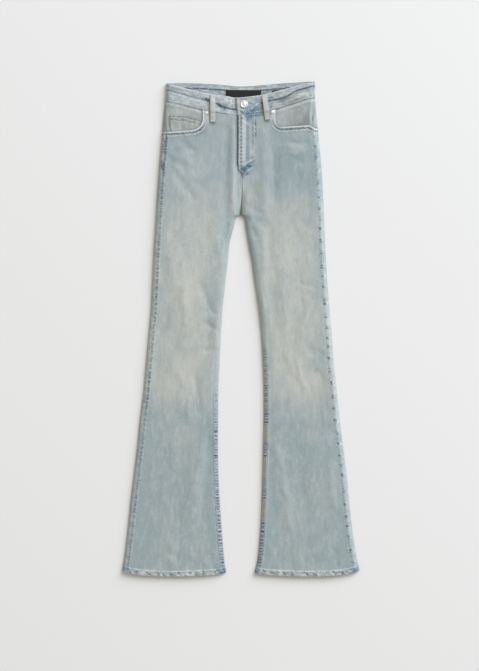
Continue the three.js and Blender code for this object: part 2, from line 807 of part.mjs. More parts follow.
/** The closed zip under the fly: tape, chain, slider and pull in one body. */
function zipBody() {
  const chainX = 9;
  const lowY = 903;
  const highY = 1009;
  const tapeLow = 7.4;
  const block = (x0, x1, y0, y1, z0, z1) => new THREE.BoxGeometry(x1 - x0, y1 - y0, z1 - z0)
    .translate((x0 + x1) / 2, (y0 + y1) / 2, (z0 + z1) / 2);
  const tape = block(-0.6, 24, lowY, highY, tapeLow, tapeLow + 1.1);
  const chain = block(chainX - 3, chainX + 3, lowY + 3, highY - 8, tapeLow + 1, tapeLow + 2.1);
  const slider = block(chainX - 5, chainX + 5, 985, 999, tapeLow - 0.8, tapeLow + 2.4);
  const pull = block(chainX - 3, chainX + 3, 958, 990, tapeLow + 2.05, tapeLow + 2.75);
  return geometryOf([chain, slider, pull].reduce(
    (body, next) => body.add(solidOf(next)),
    solidOf(tape),
  ));
}

// Bare labels on the inside of the back waistband
const labels = {
  label_main: { x: 5.7, y: 1058, width: 77.5, height: 27, tilt: -0.5 },
  label_side: { x: 82, y: 1060.5, width: 25, height: 22, tilt: 6 },
};

/** A flat label lying on the back waistband. */
function labelBody({ x, y, width, height, tilt }) {
  const low = bandCloth + seamGap;
  return new THREE.BoxGeometry(width, height, labelCloth)
    .rotateZ(radians(tilt))
    .translate(x, y, low + labelCloth / 2);
}

const jeans = new THREE.Group();

/** Adds one named piece to the jeans. */
function addPiece(name, geometry, material) {
  const bare = geometry.clone();
  bare.deleteAttribute('uv');
  bare.computeVertexNormals();
  const mesh = new THREE.Mesh(bare, material);
  mesh.name = name;
  jeans.add(mesh);
}

['left', 'right'].forEach((side) => {
  const mouth = solidOf(prism(mouthOutline(side, 0), -1, 50));
  addPiece(`front_${side}`, geometryOf(solidOf(frontPanel(side)).subtract(mouth)), materials.denim);
  addPiece(`back_${side}`, backPanelWithBed(side), materials.denim);
  addPiece(`yoke_${side}`, yokePiece(side), materials.denim);
  addPiece(`pocket_facing_${side}`, pocketFacing(side), materials.facing);
  const bedded = prism(backPocketOutline(side, 0), 0, pocketCloth);
  addPiece(`back_pocket_${side}`, bedded, materials.denim);
  addPiece(`belt_loop_front_${side}`, frontLoop(side), materials.denim);
  addPiece(`rivet_${side}`, rivetBody(side), materials.metal);
});
addPiece('coin_pocket', coinPocket(), materials.denim);

const tabSolid = solidOf(frontBandPiece('left')).subtract(solidOf(buttonholeCutter()));
addPiece('waistband_front_left', geometryOf(tabSolid), materials.denim);
addPiece('waistband_front_right', frontBandPiece('right'), materials.denim);
const backBandSolid = backLoops.reduce(
  (band, loop) => band.subtract(
    solidOf(prism(backLoopOutline(loop.x, seamGap), -1, flatLoopCloth + seamGap)),
  ),
  solidOf(backBandPiece()),
);
addPiece('waistband_back', geometryOf(backBandSolid), materials.denim);
backLoops.forEach(({ name, x }) => {
  addPiece(name, prism(backLoopOutline(x, 0), 0, flatLoopCloth), materials.denim);
});
addPiece('button', buttonBody(), materials.metal);
addPiece('zip', zipBody(), materials.zip);
Object.entries(labels).forEach(([name, label]) => addPiece(name, labelBody(label), materials.label));

// The origin is under the middle of the garment, on the floor
const extent = new THREE.Box3().setFromObject(jeans);
const middle = extent.getCenter(new THREE.Vector3());
jeans.position.set(-middle.x, -middle.y, -extent.min.z);
jeans.updateMatrixWorld(true);

export default jeans;
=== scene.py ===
"""Flared jeans lying flat, front up: the visual model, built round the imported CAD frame.

Tables are in millimetres in the pattern's own frame: x from the centre front, positive to the wearer's left,
and y up from the lowest point of the hem. put() turns them into the row frame, in metres.
"""
import math

import bpy
import numpy as np
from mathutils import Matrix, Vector


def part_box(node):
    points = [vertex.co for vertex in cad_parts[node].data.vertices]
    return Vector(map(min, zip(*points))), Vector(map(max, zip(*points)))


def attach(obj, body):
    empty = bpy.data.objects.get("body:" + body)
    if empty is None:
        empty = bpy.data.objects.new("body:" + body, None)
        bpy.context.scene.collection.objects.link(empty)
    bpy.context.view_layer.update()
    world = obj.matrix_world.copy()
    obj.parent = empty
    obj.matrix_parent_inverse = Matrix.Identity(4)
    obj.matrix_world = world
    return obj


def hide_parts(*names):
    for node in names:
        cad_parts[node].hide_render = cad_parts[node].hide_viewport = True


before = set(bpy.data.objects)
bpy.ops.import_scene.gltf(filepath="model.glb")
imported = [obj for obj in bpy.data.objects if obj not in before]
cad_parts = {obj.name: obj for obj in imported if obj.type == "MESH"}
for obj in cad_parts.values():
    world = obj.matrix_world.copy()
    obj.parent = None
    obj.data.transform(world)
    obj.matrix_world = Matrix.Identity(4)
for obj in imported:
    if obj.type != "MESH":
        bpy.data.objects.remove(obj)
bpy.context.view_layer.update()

# Where the pattern's frame lies in the row frame, from the middle of the button
BUTTON = (6.8, 1039.2)
button_low, button_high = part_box("button")
SHIFT = [(button_low[k] + button_high[k]) / 2 - BUTTON[k] / 1000 for k in range(2)]

# Cloth thicknesses and levels, mm
DENIM = 1.5
BAND = 2.6
GAP = 0.3
LAP = 0.5
PANEL_LEVEL = DENIM + GAP
BAND_LEVEL = BAND + GAP
BAND_PROUD = 0.8
WALL = 1.1
BACK_LIFT = 0.35
# How wide the rounded edge of a leg is, and how many steps settle a grid whose x and y hang together
ROUND = 14
SETTLING = 6

CROTCH_Y = 796
CROTCH_EASE = 70
WAIST_Y = 1015
YOKE_Y = 968
YOKE_RISE = 40
YOKE_HALF = 170
OUT = {"right": -1, "left": 1}

# Outline of the side seams: y, right, left
SIDE_SEAMS = (
    (0, -264, 264), (36, -257.5, 255.5), (98, -250, 245.5), (160, -243.5, 238.5), (221, -236, 232.5),
    (283, -228.5, 225), (344, -222.5, 217), (406, -214.5, 211), (468, -209, 204), (529, -203.5, 200),
    (591, -198, 194.5), (652, -195, 190), (714, -192, 186), (776, -188, 183.5), (828, -185, 181),
    (894, -180.5, 177.5), (960, -174.8, 171.5), (1026, -169.3, 165.5), (1060, -165.6, 163.5),
    (1092, -164, 163),
)
# Outline of the inseams: y, right, left
INSEAMS = (
    (0, -31.5, 28), (36, -37, 36.5), (98, -42, 42.5), (160, -46.5, 45.5), (221, -49.5, 47.5),
    (283, -50.5, 49), (344, -50.5, 50.5), (406, -50, 50.5), (468, -47.5, 48.5), (529, -44.5, 45),
    (591, -40.5, 38.7), (652, -34, 29.5), (696, -29, 23.5), (720, -27, 18.8), (740, -24, 15.2),
    (758, -19.2, 12.4), (776, -14.6, 9.4), (786, -12.6, 8), (792, -8.5, 5), (796, -2, -2),
)
# Centre seams above the crotch, with the edges of the fly: y, right, left, back
CENTRE_EDGES = (
    (796, -2, -2, -2), (815, 0.5, 0.5, -1), (840, 2, 2, 0), (886, 2.5, 2.5, 0), (890, 1.6, 1, 0),
    (894, 0, -3, 0), (899, -1, -6, 0), (960, -1, -6, 0), (1030, -1, -6.5, 0),
)
# Height of the hem above its lowest point: share of the leg's width from the inseam, y
HEM_CURVE = ((0, 8), (0.1, 4), (0.3, 1), (0.5, 0), (0.75, 1.5), (0.9, 6), (1, 12))
# Thickness of the whole garment: y, top
HEIGHTS = ((0, 9), (300, 9.6), (600, 10.6), (850, 12), (1092, 12))
# Front waistband: x, seam, top edge, crease as a share of the width
FRONT_BAND = (
    (-166, 1045.7, 1084.6, 0.65), (-137, 1039.7, 1078, 0.6), (-112, 1033, 1071.6, 0.57),
    (-86.5, 1027, 1065.6, 0.57), (-64, 1022.8, 1061, 0.55), (-35, 1018.2, 1057.5, 0.34),
    (-10, 1014.6, 1053.8, 0.34), (20, 1018, 1056.2, 0.5), (47, 1021.5, 1060, 0.56),
    (69, 1026.6, 1065.4, 0.54), (95, 1033.5, 1072.3, 0.49), (119, 1041, 1078.6, 0.7),
    (141.5, 1049, 1085, 0.69), (163, 1053, 1088, 0.77),
)
# Back waistband: x, seam, top edge
BACK_BAND = (
    (-166, 1046, 1085.7), (-134, 1046.5, 1086.4), (-90, 1045.5, 1085.7), (-46, 1043, 1083.1),
    (0, 1040, 1079.1), (42, 1042, 1081.7), (86, 1045.5, 1085.5), (130, 1049.5, 1088.6), (163, 1053, 1089.9),
)
# Largest folds, which the CAD solids have too: x0, y0, x1, y1, half width, height
FOLDS = (
    (-31, 982, -33, 700, 9, -1.2), (-17.5, 982, -18, 830, 7, 0.8), (46, 975, 53, 795, 12, 0.9),
    (75, 938, 75, 828, 11, -0.9), (-130, 956, -106, 935, 8, -1.1), (-146, 935, -130, 910, 8, -1.1),
    (-145, 886, -106, 833, 9, -1.1), (-90, 641, -62, 580, 9, -1.1), (-70, 549, -74, 501, 9, -0.9),
    (-125, 641, -125, 509, 16, 0.9), (46, 707, 52, 564, 11, 0.9), (-93, 263, -104, 130, 14, 0.9),
    (-69, 324, -70, 223, 11, -0.9), (196, 243, 205, 162, 12, 0.9),
)
# Smaller creases of the front: x0, y0, x1, y1, half width, height
CREASES = (
    (-156, 941, -117, 910, 8, 0.6), (-154, 921, -121, 890, 7, -0.6), (-143, 916, -99, 877, 8, 0.5),
    (-121, 899, -77, 850, 8, -0.4), (-125, 634, -125, 560, 8, 0.5), (-75, 584, -57, 580, 5, -0.4),
    (-77, 555, -59, 547, 6, -0.5), (-84, 500, -64, 498, 6, -0.5), (-97, 432, -95, 362, 7, -0.7),
    (-134, 443, -130, 388, 10, 0.6), (-117, 388, -112, 344, 7, 0.5), (-178, 542, -185, 344, 12, -0.4),
    (-84, 287, -97, 212, 9, 0.5), (-106, 140, -150, 63, 9, 0.8), (-150, 63, -154, 30, 8, 0.7),
    (-70, 300, -88, 124, 8, -0.5), (-128, 278, -134, 124, 12, -0.5), (-145, 45, -139, 19, 5, -0.5),
    (-66, 45, -59, 14, 5, -0.6), (-79, 36, -75, 14, 4, 0.5), (-200, 45, -205, 14, 5, -0.4),
    (-222, 40, -227, 16, 5, -0.4), (-112, 36, -112, 14, 5, -0.4), (112, 943, 134, 938, 6, 0.5),
    (99, 925, 130, 916, 7, -0.5), (103, 956, 143, 952, 6, -0.4), (15, 850, 20, 773, 7, 0.6),
    (37, 773, 51, 727, 8, 0.7), (59, 767, 68, 692, 8, -0.5), (68, 674, 77, 542, 9, -0.5),
    (95, 674, 95, 542, 9, 0.5), (121, 692, 130, 608, 8, -0.4), (143, 608, 134, 498, 9, 0.4),
    (130, 646, 156, 637, 5, -0.4), (156, 498, 176, 490, 9, -0.6), (165, 450, 178, 441, 7, -0.5),
    (125, 463, 139, 419, 6, 0.6), (99, 511, 112, 450, 8, 0.4), (81, 276, 95, 190, 8, 0.6),
    (95, 190, 110, 107, 8, 0.6), (59, 278, 77, 107, 9, -0.5), (130, 278, 143, 102, 10, -0.5),
    (64, 67, 73, 23, 5, 0.5), (79, 63, 68, 23, 5, -0.5), (108, 45, 112, 16, 5, -0.5),
    (130, 54, 130, 16, 5, 0.4), (161, 45, 165, 19, 5, -0.4), (205, 54, 213, 23, 5, -0.5),
    (46, 45, 37, 19, 5, -0.4), (-20, 793, -42, 751, 6, -0.6), (11, 793, 33, 749, 6, -0.6),
    (11, 817, 46, 798, 6, -0.4), (-60, 780, -45, 690, 9, 0.4), (-150, 760, -120, 700, 10, -0.35),
    (-160, 700, -140, 640, 9, 0.35),
)
CREASE_DEPTH = 2.0
FOLD_EXTRA = 0.5
# Uneven swells of the pressed cloth: height, size, seed
SWELLS = ((0.5, 46, 1), (0.26, 17, 2))
# Creases of the back, dents away from the floor: x0, y0, x1, y1, half width, height
BACK_CREASES = (
    (-165, 800, -70, 812, 9, 0.8), (-150, 775, -50, 790, 8, 0.6), (-160, 745, -95, 760, 9, 0.5),
    (60, 808, 168, 798, 9, 0.8), (40, 786, 140, 772, 8, 0.6), (85, 755, 150, 742, 9, 0.5),
    (-170, 520, -90, 505, 8, 0.7), (-150, 490, -70, 498, 8, 0.6), (-180, 460, -110, 470, 9, 0.5),
    (70, 512, 165, 522, 8, 0.7), (60, 488, 140, 480, 8, 0.6), (95, 452, 175, 462, 9, 0.5),
    (-120, 700, -130, 560, 12, 0.6), (115, 690, 122, 570, 12, 0.6), (-130, 400, -150, 210, 14, 0.6),
    (-90, 300, -100, 120, 12, 0.5), (125, 410, 150, 220, 14, 0.6), (85, 290, 105, 130, 12, 0.5),
    (-190, 180, -205, 60, 12, 0.4), (190, 190, 205, 70, 12, 0.4), (-80, 60, -70, 15, 6, 0.5),
    (-170, 55, -178, 15, 6, 0.5), (80, 60, 72, 15, 6, 0.5), (180, 55, 186, 15, 6, 0.5),
)
# Pocket mouths, x measured out from the centre
MOUTHS = {
    "right": dict(top=84, bend=1006, corner=(86.5, 984.5), floor=(110, 982), end=(152, 978.6), side=979),
    "left": dict(top=76, bend=1004, corner=(77.5, 989.3), floor=(92, 989), end=(151, 993), side=986),
}
# Pocket facings: where they start under the front, how far they lie below it and how far they reach under it
FACING_X = 60
FACING_Y = 955
FACING_DROP = DENIM + LAP
FACING_TUCK = 8
POCKET = 1.2
# The coin pocket: its hem, the span of its foot, and where its sides lean from
COIN_TOP = ((-158.5, 1014), (-123, 1011), (-97, 1004.5), (-80, 998))
COIN_SPAN = (-154.2, -85.6)
COIN_FOOT = 965
COIN_HEIGHT = 49


class Column:
    """A smooth function through places and values."""

    def __init__(self, places, values):
        self.places = np.array(places, float)
        self.values = np.array(values, float)
        last = len(self.places) - 1
        before = np.maximum(np.arange(last + 1) - 1, 0)
        after = np.minimum(np.arange(last + 1) + 1, last)
        self.slopes = (self.values[after] - self.values[before]) / (self.places[after] - self.places[before])

    def __call__(self, place):
        p = np.clip(place, self.places[0], self.places[-1])
        i = np.clip(np.searchsorted(self.places, p, side="right") - 1, 0, len(self.places) - 2)
        span = self.places[i + 1] - self.places[i]
        share = (p - self.places[i]) / span
        rise = self.values[i + 1] - self.values[i]
        a = self.slopes[i] * span - rise
        b = rise - self.slopes[i + 1] * span
        return self.values[i] + rise * share + share * (1 - share) * (a * (1 - share) + b * share)


def columns(table):
    """One smooth function for each column of a table after its first."""
    by_column = list(zip(*table))
    return [Column(by_column[0], values) for values in by_column[1:]]


side_x = dict(zip(("right", "left"), columns(SIDE_SEAMS)))
inseam_x = dict(zip(("right", "left"), columns(INSEAMS)))
centre_x = dict(zip(("right", "left", "back"), columns(CENTRE_EDGES)))
hem_y = columns(HEM_CURVE)[0]
top_height = columns(HEIGHTS)[0]
seam_y, band_top_y, band_crease = columns(FRONT_BAND)
back_seam_y, back_top_y = columns(BACK_BAND)


def mix(a, b, share):
    return a + (b - a) * share


def ease(value):
    share = np.clip(value, 0, 1)
    return share * share * (3 - 2 * share)


def dome(distance, half_width):
    """1 at no distance, falling softly to nothing."""
    return np.exp(-((distance / half_width) ** 2))


def within(value, low, high, soft):
    """1 between two values, with soft ends."""
    return ease((value - low) / soft + 0.5) * ease((high - value) / soft + 0.5)


def turned(x, y, degrees):
    """A place turned round the origin."""
    turn = math.radians(degrees)
    return x * math.cos(turn) - y * math.sin(turn), x * math.sin(turn) + y * math.cos(turn)


def lattice(i, j, seed):
    """Random values from -1 to 1 at whole places."""
    return np.sin(i * 127.1 + j * 311.7 + seed * 74.7) * 43758.5453 % 1 * 2 - 1


def rough(x, y, size, seed):
    """Smooth uneven values from -1 to 1 over a plane, in patches of this size."""
    p, q = np.broadcast_arrays(np.asarray(x, float) / size, np.asarray(y, float) / size)
    i, j = np.floor(p), np.floor(q)
    u, v = ease(p - i), ease(q - j)
    low = mix(lattice(i, j, seed), lattice(i + 1, j, seed), u)
    high = mix(lattice(i, j + 1, seed), lattice(i + 1, j + 1, seed), u)
    return mix(low, high, v)


def inner_x(side, y, centre=None):
    """Where a panel's edge beside the other leg lies."""
    edge = centre_x[centre or side](y)
    return np.where(y < CROTCH_Y, inseam_x[side](y), edge) + OUT[side] * GAP / 2


def rounding(distance, radius=ROUND):
    """A quarter circle's height: 0 at an edge, 1 past its radius."""
    share = np.clip(distance / radius, 0, 1)
    return np.sqrt(share * (2 - share))


def fold_height(x, y, table, ragged=0.0):
    """Height that a table of folds adds, each fading at its ends and, if ragged, wandering along its way."""
    total = np.zeros(np.broadcast(x, y).shape)
    for n, (x0, y0, x1, y1, width, height) in enumerate(table):
        dx, dy = x1 - x0, y1 - y0
        long = dx * dx + dy * dy
        u = np.clip(((x - x0) * dx + (y - y0) * dy) / long, 0, 1)
        sway = ragged * width * np.sin(u * 5 + n * 1.7)
        away_x = x - x0 - dx * u - sway * dy / math.sqrt(long)
        away_y = y - y0 - dy * u + sway * dx / math.sqrt(long)
        fade = 1 - 0.35 * ragged * np.cos(u * 9 + n)
        total += height * np.exp(-(away_x**2 + away_y**2) / width**2) * fade
    return total


def plan(side, share, offset, base, bend, centre=None):
    """x and y of a panel's grid: a share of the way across plus an offset, its rows bending with the ends."""
    y = np.broadcast_to(base, np.broadcast(share, base).shape).astype(float)
    for _ in range(SETTLING):
        inner = inner_x(side, y, centre)
        outer = side_x[side](y)
        x = mix(inner, outer, share) + OUT[side] * offset
        y = base + bend(base, x, (x - inner) / (outer - inner))
    return x, y


def settle(x_at, y_at, y, steps=SETTLING):
    """x and y of a grid where each follows from the other."""
    for _ in range(steps):
        x = x_at(y)
        y = y_at(x)
    return x, y


def hem_bend(base, across):
    return hem_y(across) * (1 - ease(base / 100))


def bend_to(target, start, end):
    return lambda base, x: (target(x) - end) * ease((base - start) / (end - start))


to_seam = bend_to(lambda x: seam_y(x) - GAP / 2, 900, WAIST_Y)


def yoke_y(x):
    return YOKE_Y + YOKE_RISE * np.clip(np.abs(x) / YOKE_HALF, 0, 1)


def front_form(side, x, y, wall=WALL, drop=0.0, proud=0.0, level=PANEL_LEVEL, crotch=True, creases=True):
    """Heights of the front's two faces, how far the inner one moves, and the distances from both edges."""
    way = OUT[side]
    from_side = way * (side_x[side](y) - x)
    from_inner = way * (x - inner_x(side, y)) if crotch else np.full(np.shape(x), float(ROUND))
    closed = np.where(y < CROTCH_Y, 1.0, 1 - ease((y - CROTCH_Y) / CROTCH_EASE))
    share = rounding(from_side) * (1 - closed + closed * rounding(from_inner))
    full = top_height(y) + proud - drop - level + fold_height(x, y, FOLDS)
    if creases:
        full = full + CREASE_DEPTH * fold_height(x, y, CREASES, 0.35)
        full = full + FOLD_EXTRA * fold_height(x, y, FOLDS, 0.4)
        for height, size, seed in SWELLS:
            full = full + height * rough(x, y * 0.7, size, seed)
    side_shift = wall * (1 - np.clip(from_side / ROUND, 0, 1))
    inner_shift = wall * closed * (1 - np.clip(from_inner / ROUND, 0, 1))
    shift = way * (inner_shift - side_shift)
    return level + full * share, level + (full - wall) * share, shift, from_side, from_inner


def line_distance(x, y, line):
    """Distance from a line of corners, positive on its left, the nearest point, and the way along it."""
    x, y = np.asarray(x, float), np.asarray(y, float)
    best = np.full(x.shape, 1e9)
    near_x, near_y, sign, along = (np.zeros(x.shape) for _ in range(4))
    run = 0.0
    for (x0, y0), (x1, y1) in zip(line, line[1:]):
        dx, dy = x1 - x0, y1 - y0
        long = math.hypot(dx, dy)
        t = np.clip(((x - x0) * dx + (y - y0) * dy) / long**2, 0, 1)
        qx, qy = x0 + t * dx, y0 + t * dy
        away = np.hypot(x - qx, y - qy)
        closer = away < best - 1e-9
        best = np.where(closer, away, best)
        near_x, near_y = np.where(closer, qx, near_x), np.where(closer, qy, near_y)
        along = np.where(closer, run + t * long, along)
        turn = np.where(dx * (y - y0) - dy * (x - x0) < 0, -1.0, 1.0)
        sign = np.where(closer, turn, sign)
        run += long
    return best * sign, near_x, near_y, along


def mouth_line(side):
    """The edge of a pocket mouth, from above the waist down and out past the side seam."""
    m = MOUTHS[side]
    start, corner, floor = (m["top"], m["bend"]), m["corner"], m["floor"]
    bow = []
    for t in np.linspace(0, 1, 13):
        weights = ((1 - t) ** 2, 2 * t * (1 - t), t * t)
        bow.append([sum(w * p[k] for w, p in zip(weights, (start, corner, floor))) for k in range(2)])
    line = [(m["top"], 1100), *bow, m["end"], (m["end"][0] + 12, m["side"]), (210, m["side"])]
    return [(OUT[side] * x, y) for x, y in line]


mouth_lines = {side: mouth_line(side) for side in OUT}


def from_mouth(side):
    """A function for the distance from a pocket mouth, positive on the panel."""
    def measure(x, y):
        away, qx, qy, along = line_distance(x, y, mouth_lines[side])
        return -OUT[side] * away, qx, qy, along
    return measure


def cut(x, y, edge, offset=0.0):
    """Keeps the cells of a grid past a line. Corners beside the line move onto it."""
    middle = [(g[:-1, :-1] + g[1:, 1:] + g[:-1, 1:] + g[1:, :-1]) / 4 for g in (x, y)]
    keep = edge(*middle)[0] > offset
    near = {True: np.zeros(x.shape, bool), False: np.zeros(x.shape, bool)}
    rows, cols = keep.shape
    for i in (0, 1):
        for j in (0, 1):
            for state in near:
                near[state][i:i + rows, j:j + cols] |= keep == state
    on = near[True] & near[False]
    away, qx, qy, _ = edge(x[on], y[on])
    share = offset / np.where(np.abs(away) < 1e-6, 1e-6, away)
    x[on], y[on] = qx + (x[on] - qx) * share, qy + (y[on] - qy) * share
    return keep


def put(points):
    """Pattern millimetres into row metres."""
    out = np.asarray(points, float) / 1000
    out[..., 0] += SHIFT[0]
    out[..., 1] += SHIFT[1]
    return out


def body(name, points, faces, material, smooth_angle=50):
    """A new mesh object from points in pattern millimetres."""
    mesh = bpy.data.meshes.new(name)
    mesh.from_pydata(put(points).tolist(), [], [list(map(int, f)) for f in faces])
    mesh.update()
    mesh.shade_smooth()
    mesh.set_sharp_from_angle(angle=math.radians(smooth_angle))
    piece = bpy.data.objects.new(name, mesh)
    bpy.context.scene.collection.objects.link(piece)
    mesh.materials.append(material)
    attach(piece, "root")
    return piece


def shell(name, x, y, outer, inner, material, shift=0.0, keep=None):
    """A closed sheet over a grid, from its outer face to its inner one."""
    rows, cols = x.shape
    index = np.arange(rows * cols).reshape(rows, cols)
    cells = np.stack([index[:-1, :-1], index[:-1, 1:], index[1:, 1:], index[1:, :-1]], -1).reshape(-1, 4)
    if keep is not None:
        cells = cells[keep.ravel()]
    edges = np.concatenate([cells[:, [k, (k + 1) % 4]] for k in range(4)])
    _, first, count = np.unique(np.sort(edges, axis=1), axis=0, return_index=True, return_counts=True)
    rim = edges[first[count == 1]]
    layer = rows * cols
    faces = np.concatenate([
        cells,
        cells[:, ::-1] + layer,
        np.stack([rim[:, 1], rim[:, 0], rim[:, 0] + layer, rim[:, 1] + layer], -1),
    ])
    points = np.concatenate([
        np.stack([x, y, outer], -1).reshape(-1, 3),
        np.stack([x + shift, y, inner], -1).reshape(-1, 3),
    ])
    used, faces = np.unique(faces, return_inverse=True)
    faces = faces.reshape(-1, 4)
    points = points[used]
    corner = points[faces]
    spans = np.cross(corner[:, 1] - corner[:, 0], corner[:, 2] - corner[:, 0])
    spans += np.cross(corner[:, 2] - corner[:, 0], corner[:, 3] - corner[:, 0])
    if (spans * corner.mean(1)).sum() < 0:
        faces = faces[:, ::-1]
    return body(name, points, faces, material)


# A distance that is out of reach of every mark
FAR = 99.0
FRAME_Y = SHIFT[1] * 1000


def nowhere(x):
    return 0 * x + FAR


def paint(piece, dye_and_painted_shade, seams=None, edge=None, marks=None):
    """Stores what the cloth's material reads at each point, from functions of the pattern's x and y.

    dye_and_painted_shade is how pale, how blue and how light or dark it is, the dark in places painted shade.
    seams and edge are distances from sewn lines, and marks is how strong the side seam's puckers, the
    inseam's puckers and its worn patches are.
    """
    mesh = piece.data
    points = np.empty(len(mesh.vertices) * 3)
    mesh.vertices.foreach_get("co", points)
    points = points.reshape(-1, 3)
    x = (points[:, 0] - SHIFT[0]) * 1000
    y = (points[:, 1] - SHIFT[1]) * 1000
    away = np.full(len(x), FAR)
    rows = {
        "dye_and_painted_shade": dye_and_painted_shade(x, y),
        "seams": seams(x, y) if seams else (away, away, away),
        "edge": edge(x, y) if edge else (away, away, away),
        "marks": marks(x, y) if marks else (0 * x, 0 * x, 0 * x),
    }
    for name, values in rows.items():
        held = mesh.attributes.new(name, "FLOAT_VECTOR", "POINT")
        held.data.foreach_set("vector", np.stack(np.broadcast_arrays(*values), -1).astype(float).ravel())
    return piece


# How pale the wash is and how much bluer, up the body: y, pale, blue
WASH = (
    (0, 0.1, 0), (300, 0.14, 0), (350, 0.2, 0), (372, 0.34, 0), (398, 0.6, 0), (430, 0.78, 0),
    (500, 0.84, 0), (620, 0.8, 0), (720, 0.72, 0.02), (790, 0.6, 0.06), (830, 0.42, 0.14), (870, 0.28, 0.19),
    (920, 0.2, 0.2), (1010, 0.2, 0.14), (1092, 0.2, 0.05),
)
# Worn patches of the wash: x, y, half width, half height, amount
PALE_PATCHES = (
    (-123, 640, 40, 60, 0.14), (-120, 415, 40, 40, 0.16), (140, 415, 36, 40, 0.16), (-28, 840, 14, 60, 0.3),
    (-110, 860, 50, 60, 0.22), (125, 940, 22, 12, 0.35), (-110, 990, 40, 14, 0.2), (-95, 205, 14, 90, 0.3),
    (-150, 62, 14, 42, 0.3), (92, 215, 14, 90, 0.25), (120, 125, 12, 60, 0.2), (206, 230, 10, 120, 0.25),
    (60, 880, 12, 90, 0.25), (-60, 930, 40, 60, 0.12), (120, 820, 40, 60, 0.1), (150, 905, 16, 14, 0.2),
    (-190, 300, 14, 60, 0.12), (-120, 320, 20, 40, 0.15), (110, 700, 26, 40, 0.12), (15, 860, 8, 40, 0.2),
)
# Less worn patches, the same columns
DEEP_PATCHES = (
    (-31, 840, 9, 120, 0.3), (-66, 580, 12, 60, 0.3), (-95, 500, 30, 8, 0.25), (-62, 640, 10, 60, 0.2),
    (-160, 560, 12, 100, 0.18), (60, 500, 12, 90, 0.2), (172, 490, 16, 34, 0.28), (78, 880, 12, 60, 0.35),
    (-120, 945, 22, 8, 0.25), (-138, 920, 10, 18, 0.25), (110, 925, 40, 10, 0.25),
    (-140, 180, 22, 110, 0.14), (140, 180, 20, 110, 0.12), (20, 700, 10, 80, 0.2), (95, 610, 12, 60, 0.14),
    (175, 690, 12, 60, 0.14), (90, 905, 50, 50, 0.16), (-88, 430, 12, 40, 0.2), (100, 420, 10, 40, 0.12),
    (-15, 770, 8, 40, 0.2), (40, 800, 8, 40, 0.12),
)
# Blue left unworn: x, y, half width, half height, turn in degrees, amount
BLUE_PATCHES = (
    (-170.5, 949, 4, 6, 0, 1), (-175, 916, 4, 14, 0, 0.4), (168.5, 927, 5.5, 8, 0, 1.5),
    (16, 900, 14, 9, 30, 1.6), (10, 903, 7, 4, 30, 1), (26, 912, 7, 4, 50, 0.8), (6, 893, 6, 7, 0, 1),
    (14, 886, 7, 3, 30, 0.8), (17, 1009, 11, 6, 0, 1.5), (30, 1014, 18, 2.5, 5, 1.2), (67, 1018, 5, 5, 0, 1),
    (16, 925, 4, 12, 0, 0.5), (30, 930, 4, 9, 0, 0.4), (162, 1021, 3, 14, 0, 0.6), (26, 1000, 6, 8, 10, 0.5),
    (15, 960, 3, 30, 0, 0.3), (-4, 1000, 3, 14, 0, 0.35), (170, 985, 4, 12, 0, 0.4), (4, 880, 4, 10, 0, 0.6),
    (-50, 1037, 4, 8, 10, 1), (-42, 1031, 8, 3, -25, 1), (-74, 1050, 9, 4, -15, 1.2),
    (-110, 1056, 30, 3, -13, 1), (-148, 1064, 18, 3, -14, 0.9), (18, 1027, 14, 6, 20, 1.7),
    (22, 1020, 22, 3, 3, 1.5), (34, 1043, 8, 11, -30, 0.8), (42, 1028, 9, 5, 10, 0.9),
    (66, 1034, 6, 7, 0, 1), (66, 1053, 8, 3, 10, 1), (92, 1053, 18, 3, 18, 0.7),
    (130, 1070, 20, 2.5, 15, 0.8), (-20, 1036, 12, 4, -10, 0.5), (-90, 1032, 20, 3, -10, 0.5),
    (110, 1045, 20, 3, 15, 0.4), (-130, 1045, 22, 4, -10, 0.4), (150, 1056, 10, 5, 10, 0.5),
    (-150, 1048, 10, 3, 0, 0.4), (-62, 1024, 4, 4, 0, 0.5),
)
# Blue left on the back waistband, the same columns
BACK_BLUE = (
    (-105, 1078, 34, 4, 0, 0.8), (-90, 1066, 30, 2.5, 0, 0.6), (-44, 1068, 12, 9, 0, 0.4),
    (60, 1070, 10, 8, 0, 0.4),
    (110, 1080, 30, 3, 5, 0.5), (130, 1068, 20, 4, 10, 0.4), (-140, 1072, 16, 6, 0, 0.4),
)
# Places worn white and places that are dark, the same columns
WHITE_PATCHES = (
    (-51, 1027, 4, 5, 0, 0.4), (-74, 1016, 5, 13, 8, 0.9), (70, 1015, 5, 12, -8, 0.8),
    (-80, 1000, 5, 8, -30, 0.4), (161, 1000, 3, 26, 0, 0.5), (170, 860, 3, 60, 0, 0.4),
    (6, 850, 4, 26, 0, 0.4), (-14, 850, 5, 60, 0, 0.55), (120, 935, 20, 5, 5, 0.25),
    (-135, 300, 3, 20, 0, 0.1), (-8, 1040, 2, 22, 0, 0.4), (11, 998, 9, 1.8, -36, 0.9),
    (17, 912.5, 13, 1.8, 32, 0.9), (18, 895, 9, 1.8, 35, 0.8), (8, 1008, 4, 4, 0, 0.5),
    (-3, 862, 2.5, 18, 0, 0.5), (24, 940, 6, 12, 0, 0.35), (168, 905, 3, 9, 0, 0.5),
    (162, 968, 3, 14, 0, 0.5), (171, 950, 2.5, 14, 0, 0.4), (-105, 735, 70, 75, 0, 0.16),
    (100, 735, 60, 75, 0, 0.1), (-100, 905, 60, 50, 0, 0.14), (-171, 925, 3, 9, 0, 0.5),
    (-176, 880, 2.4, 12, 0, 0.7), (-168, 968, 3, 10, 0, 0.5), (110, 950, 30, 3, 0, 0.2),
)
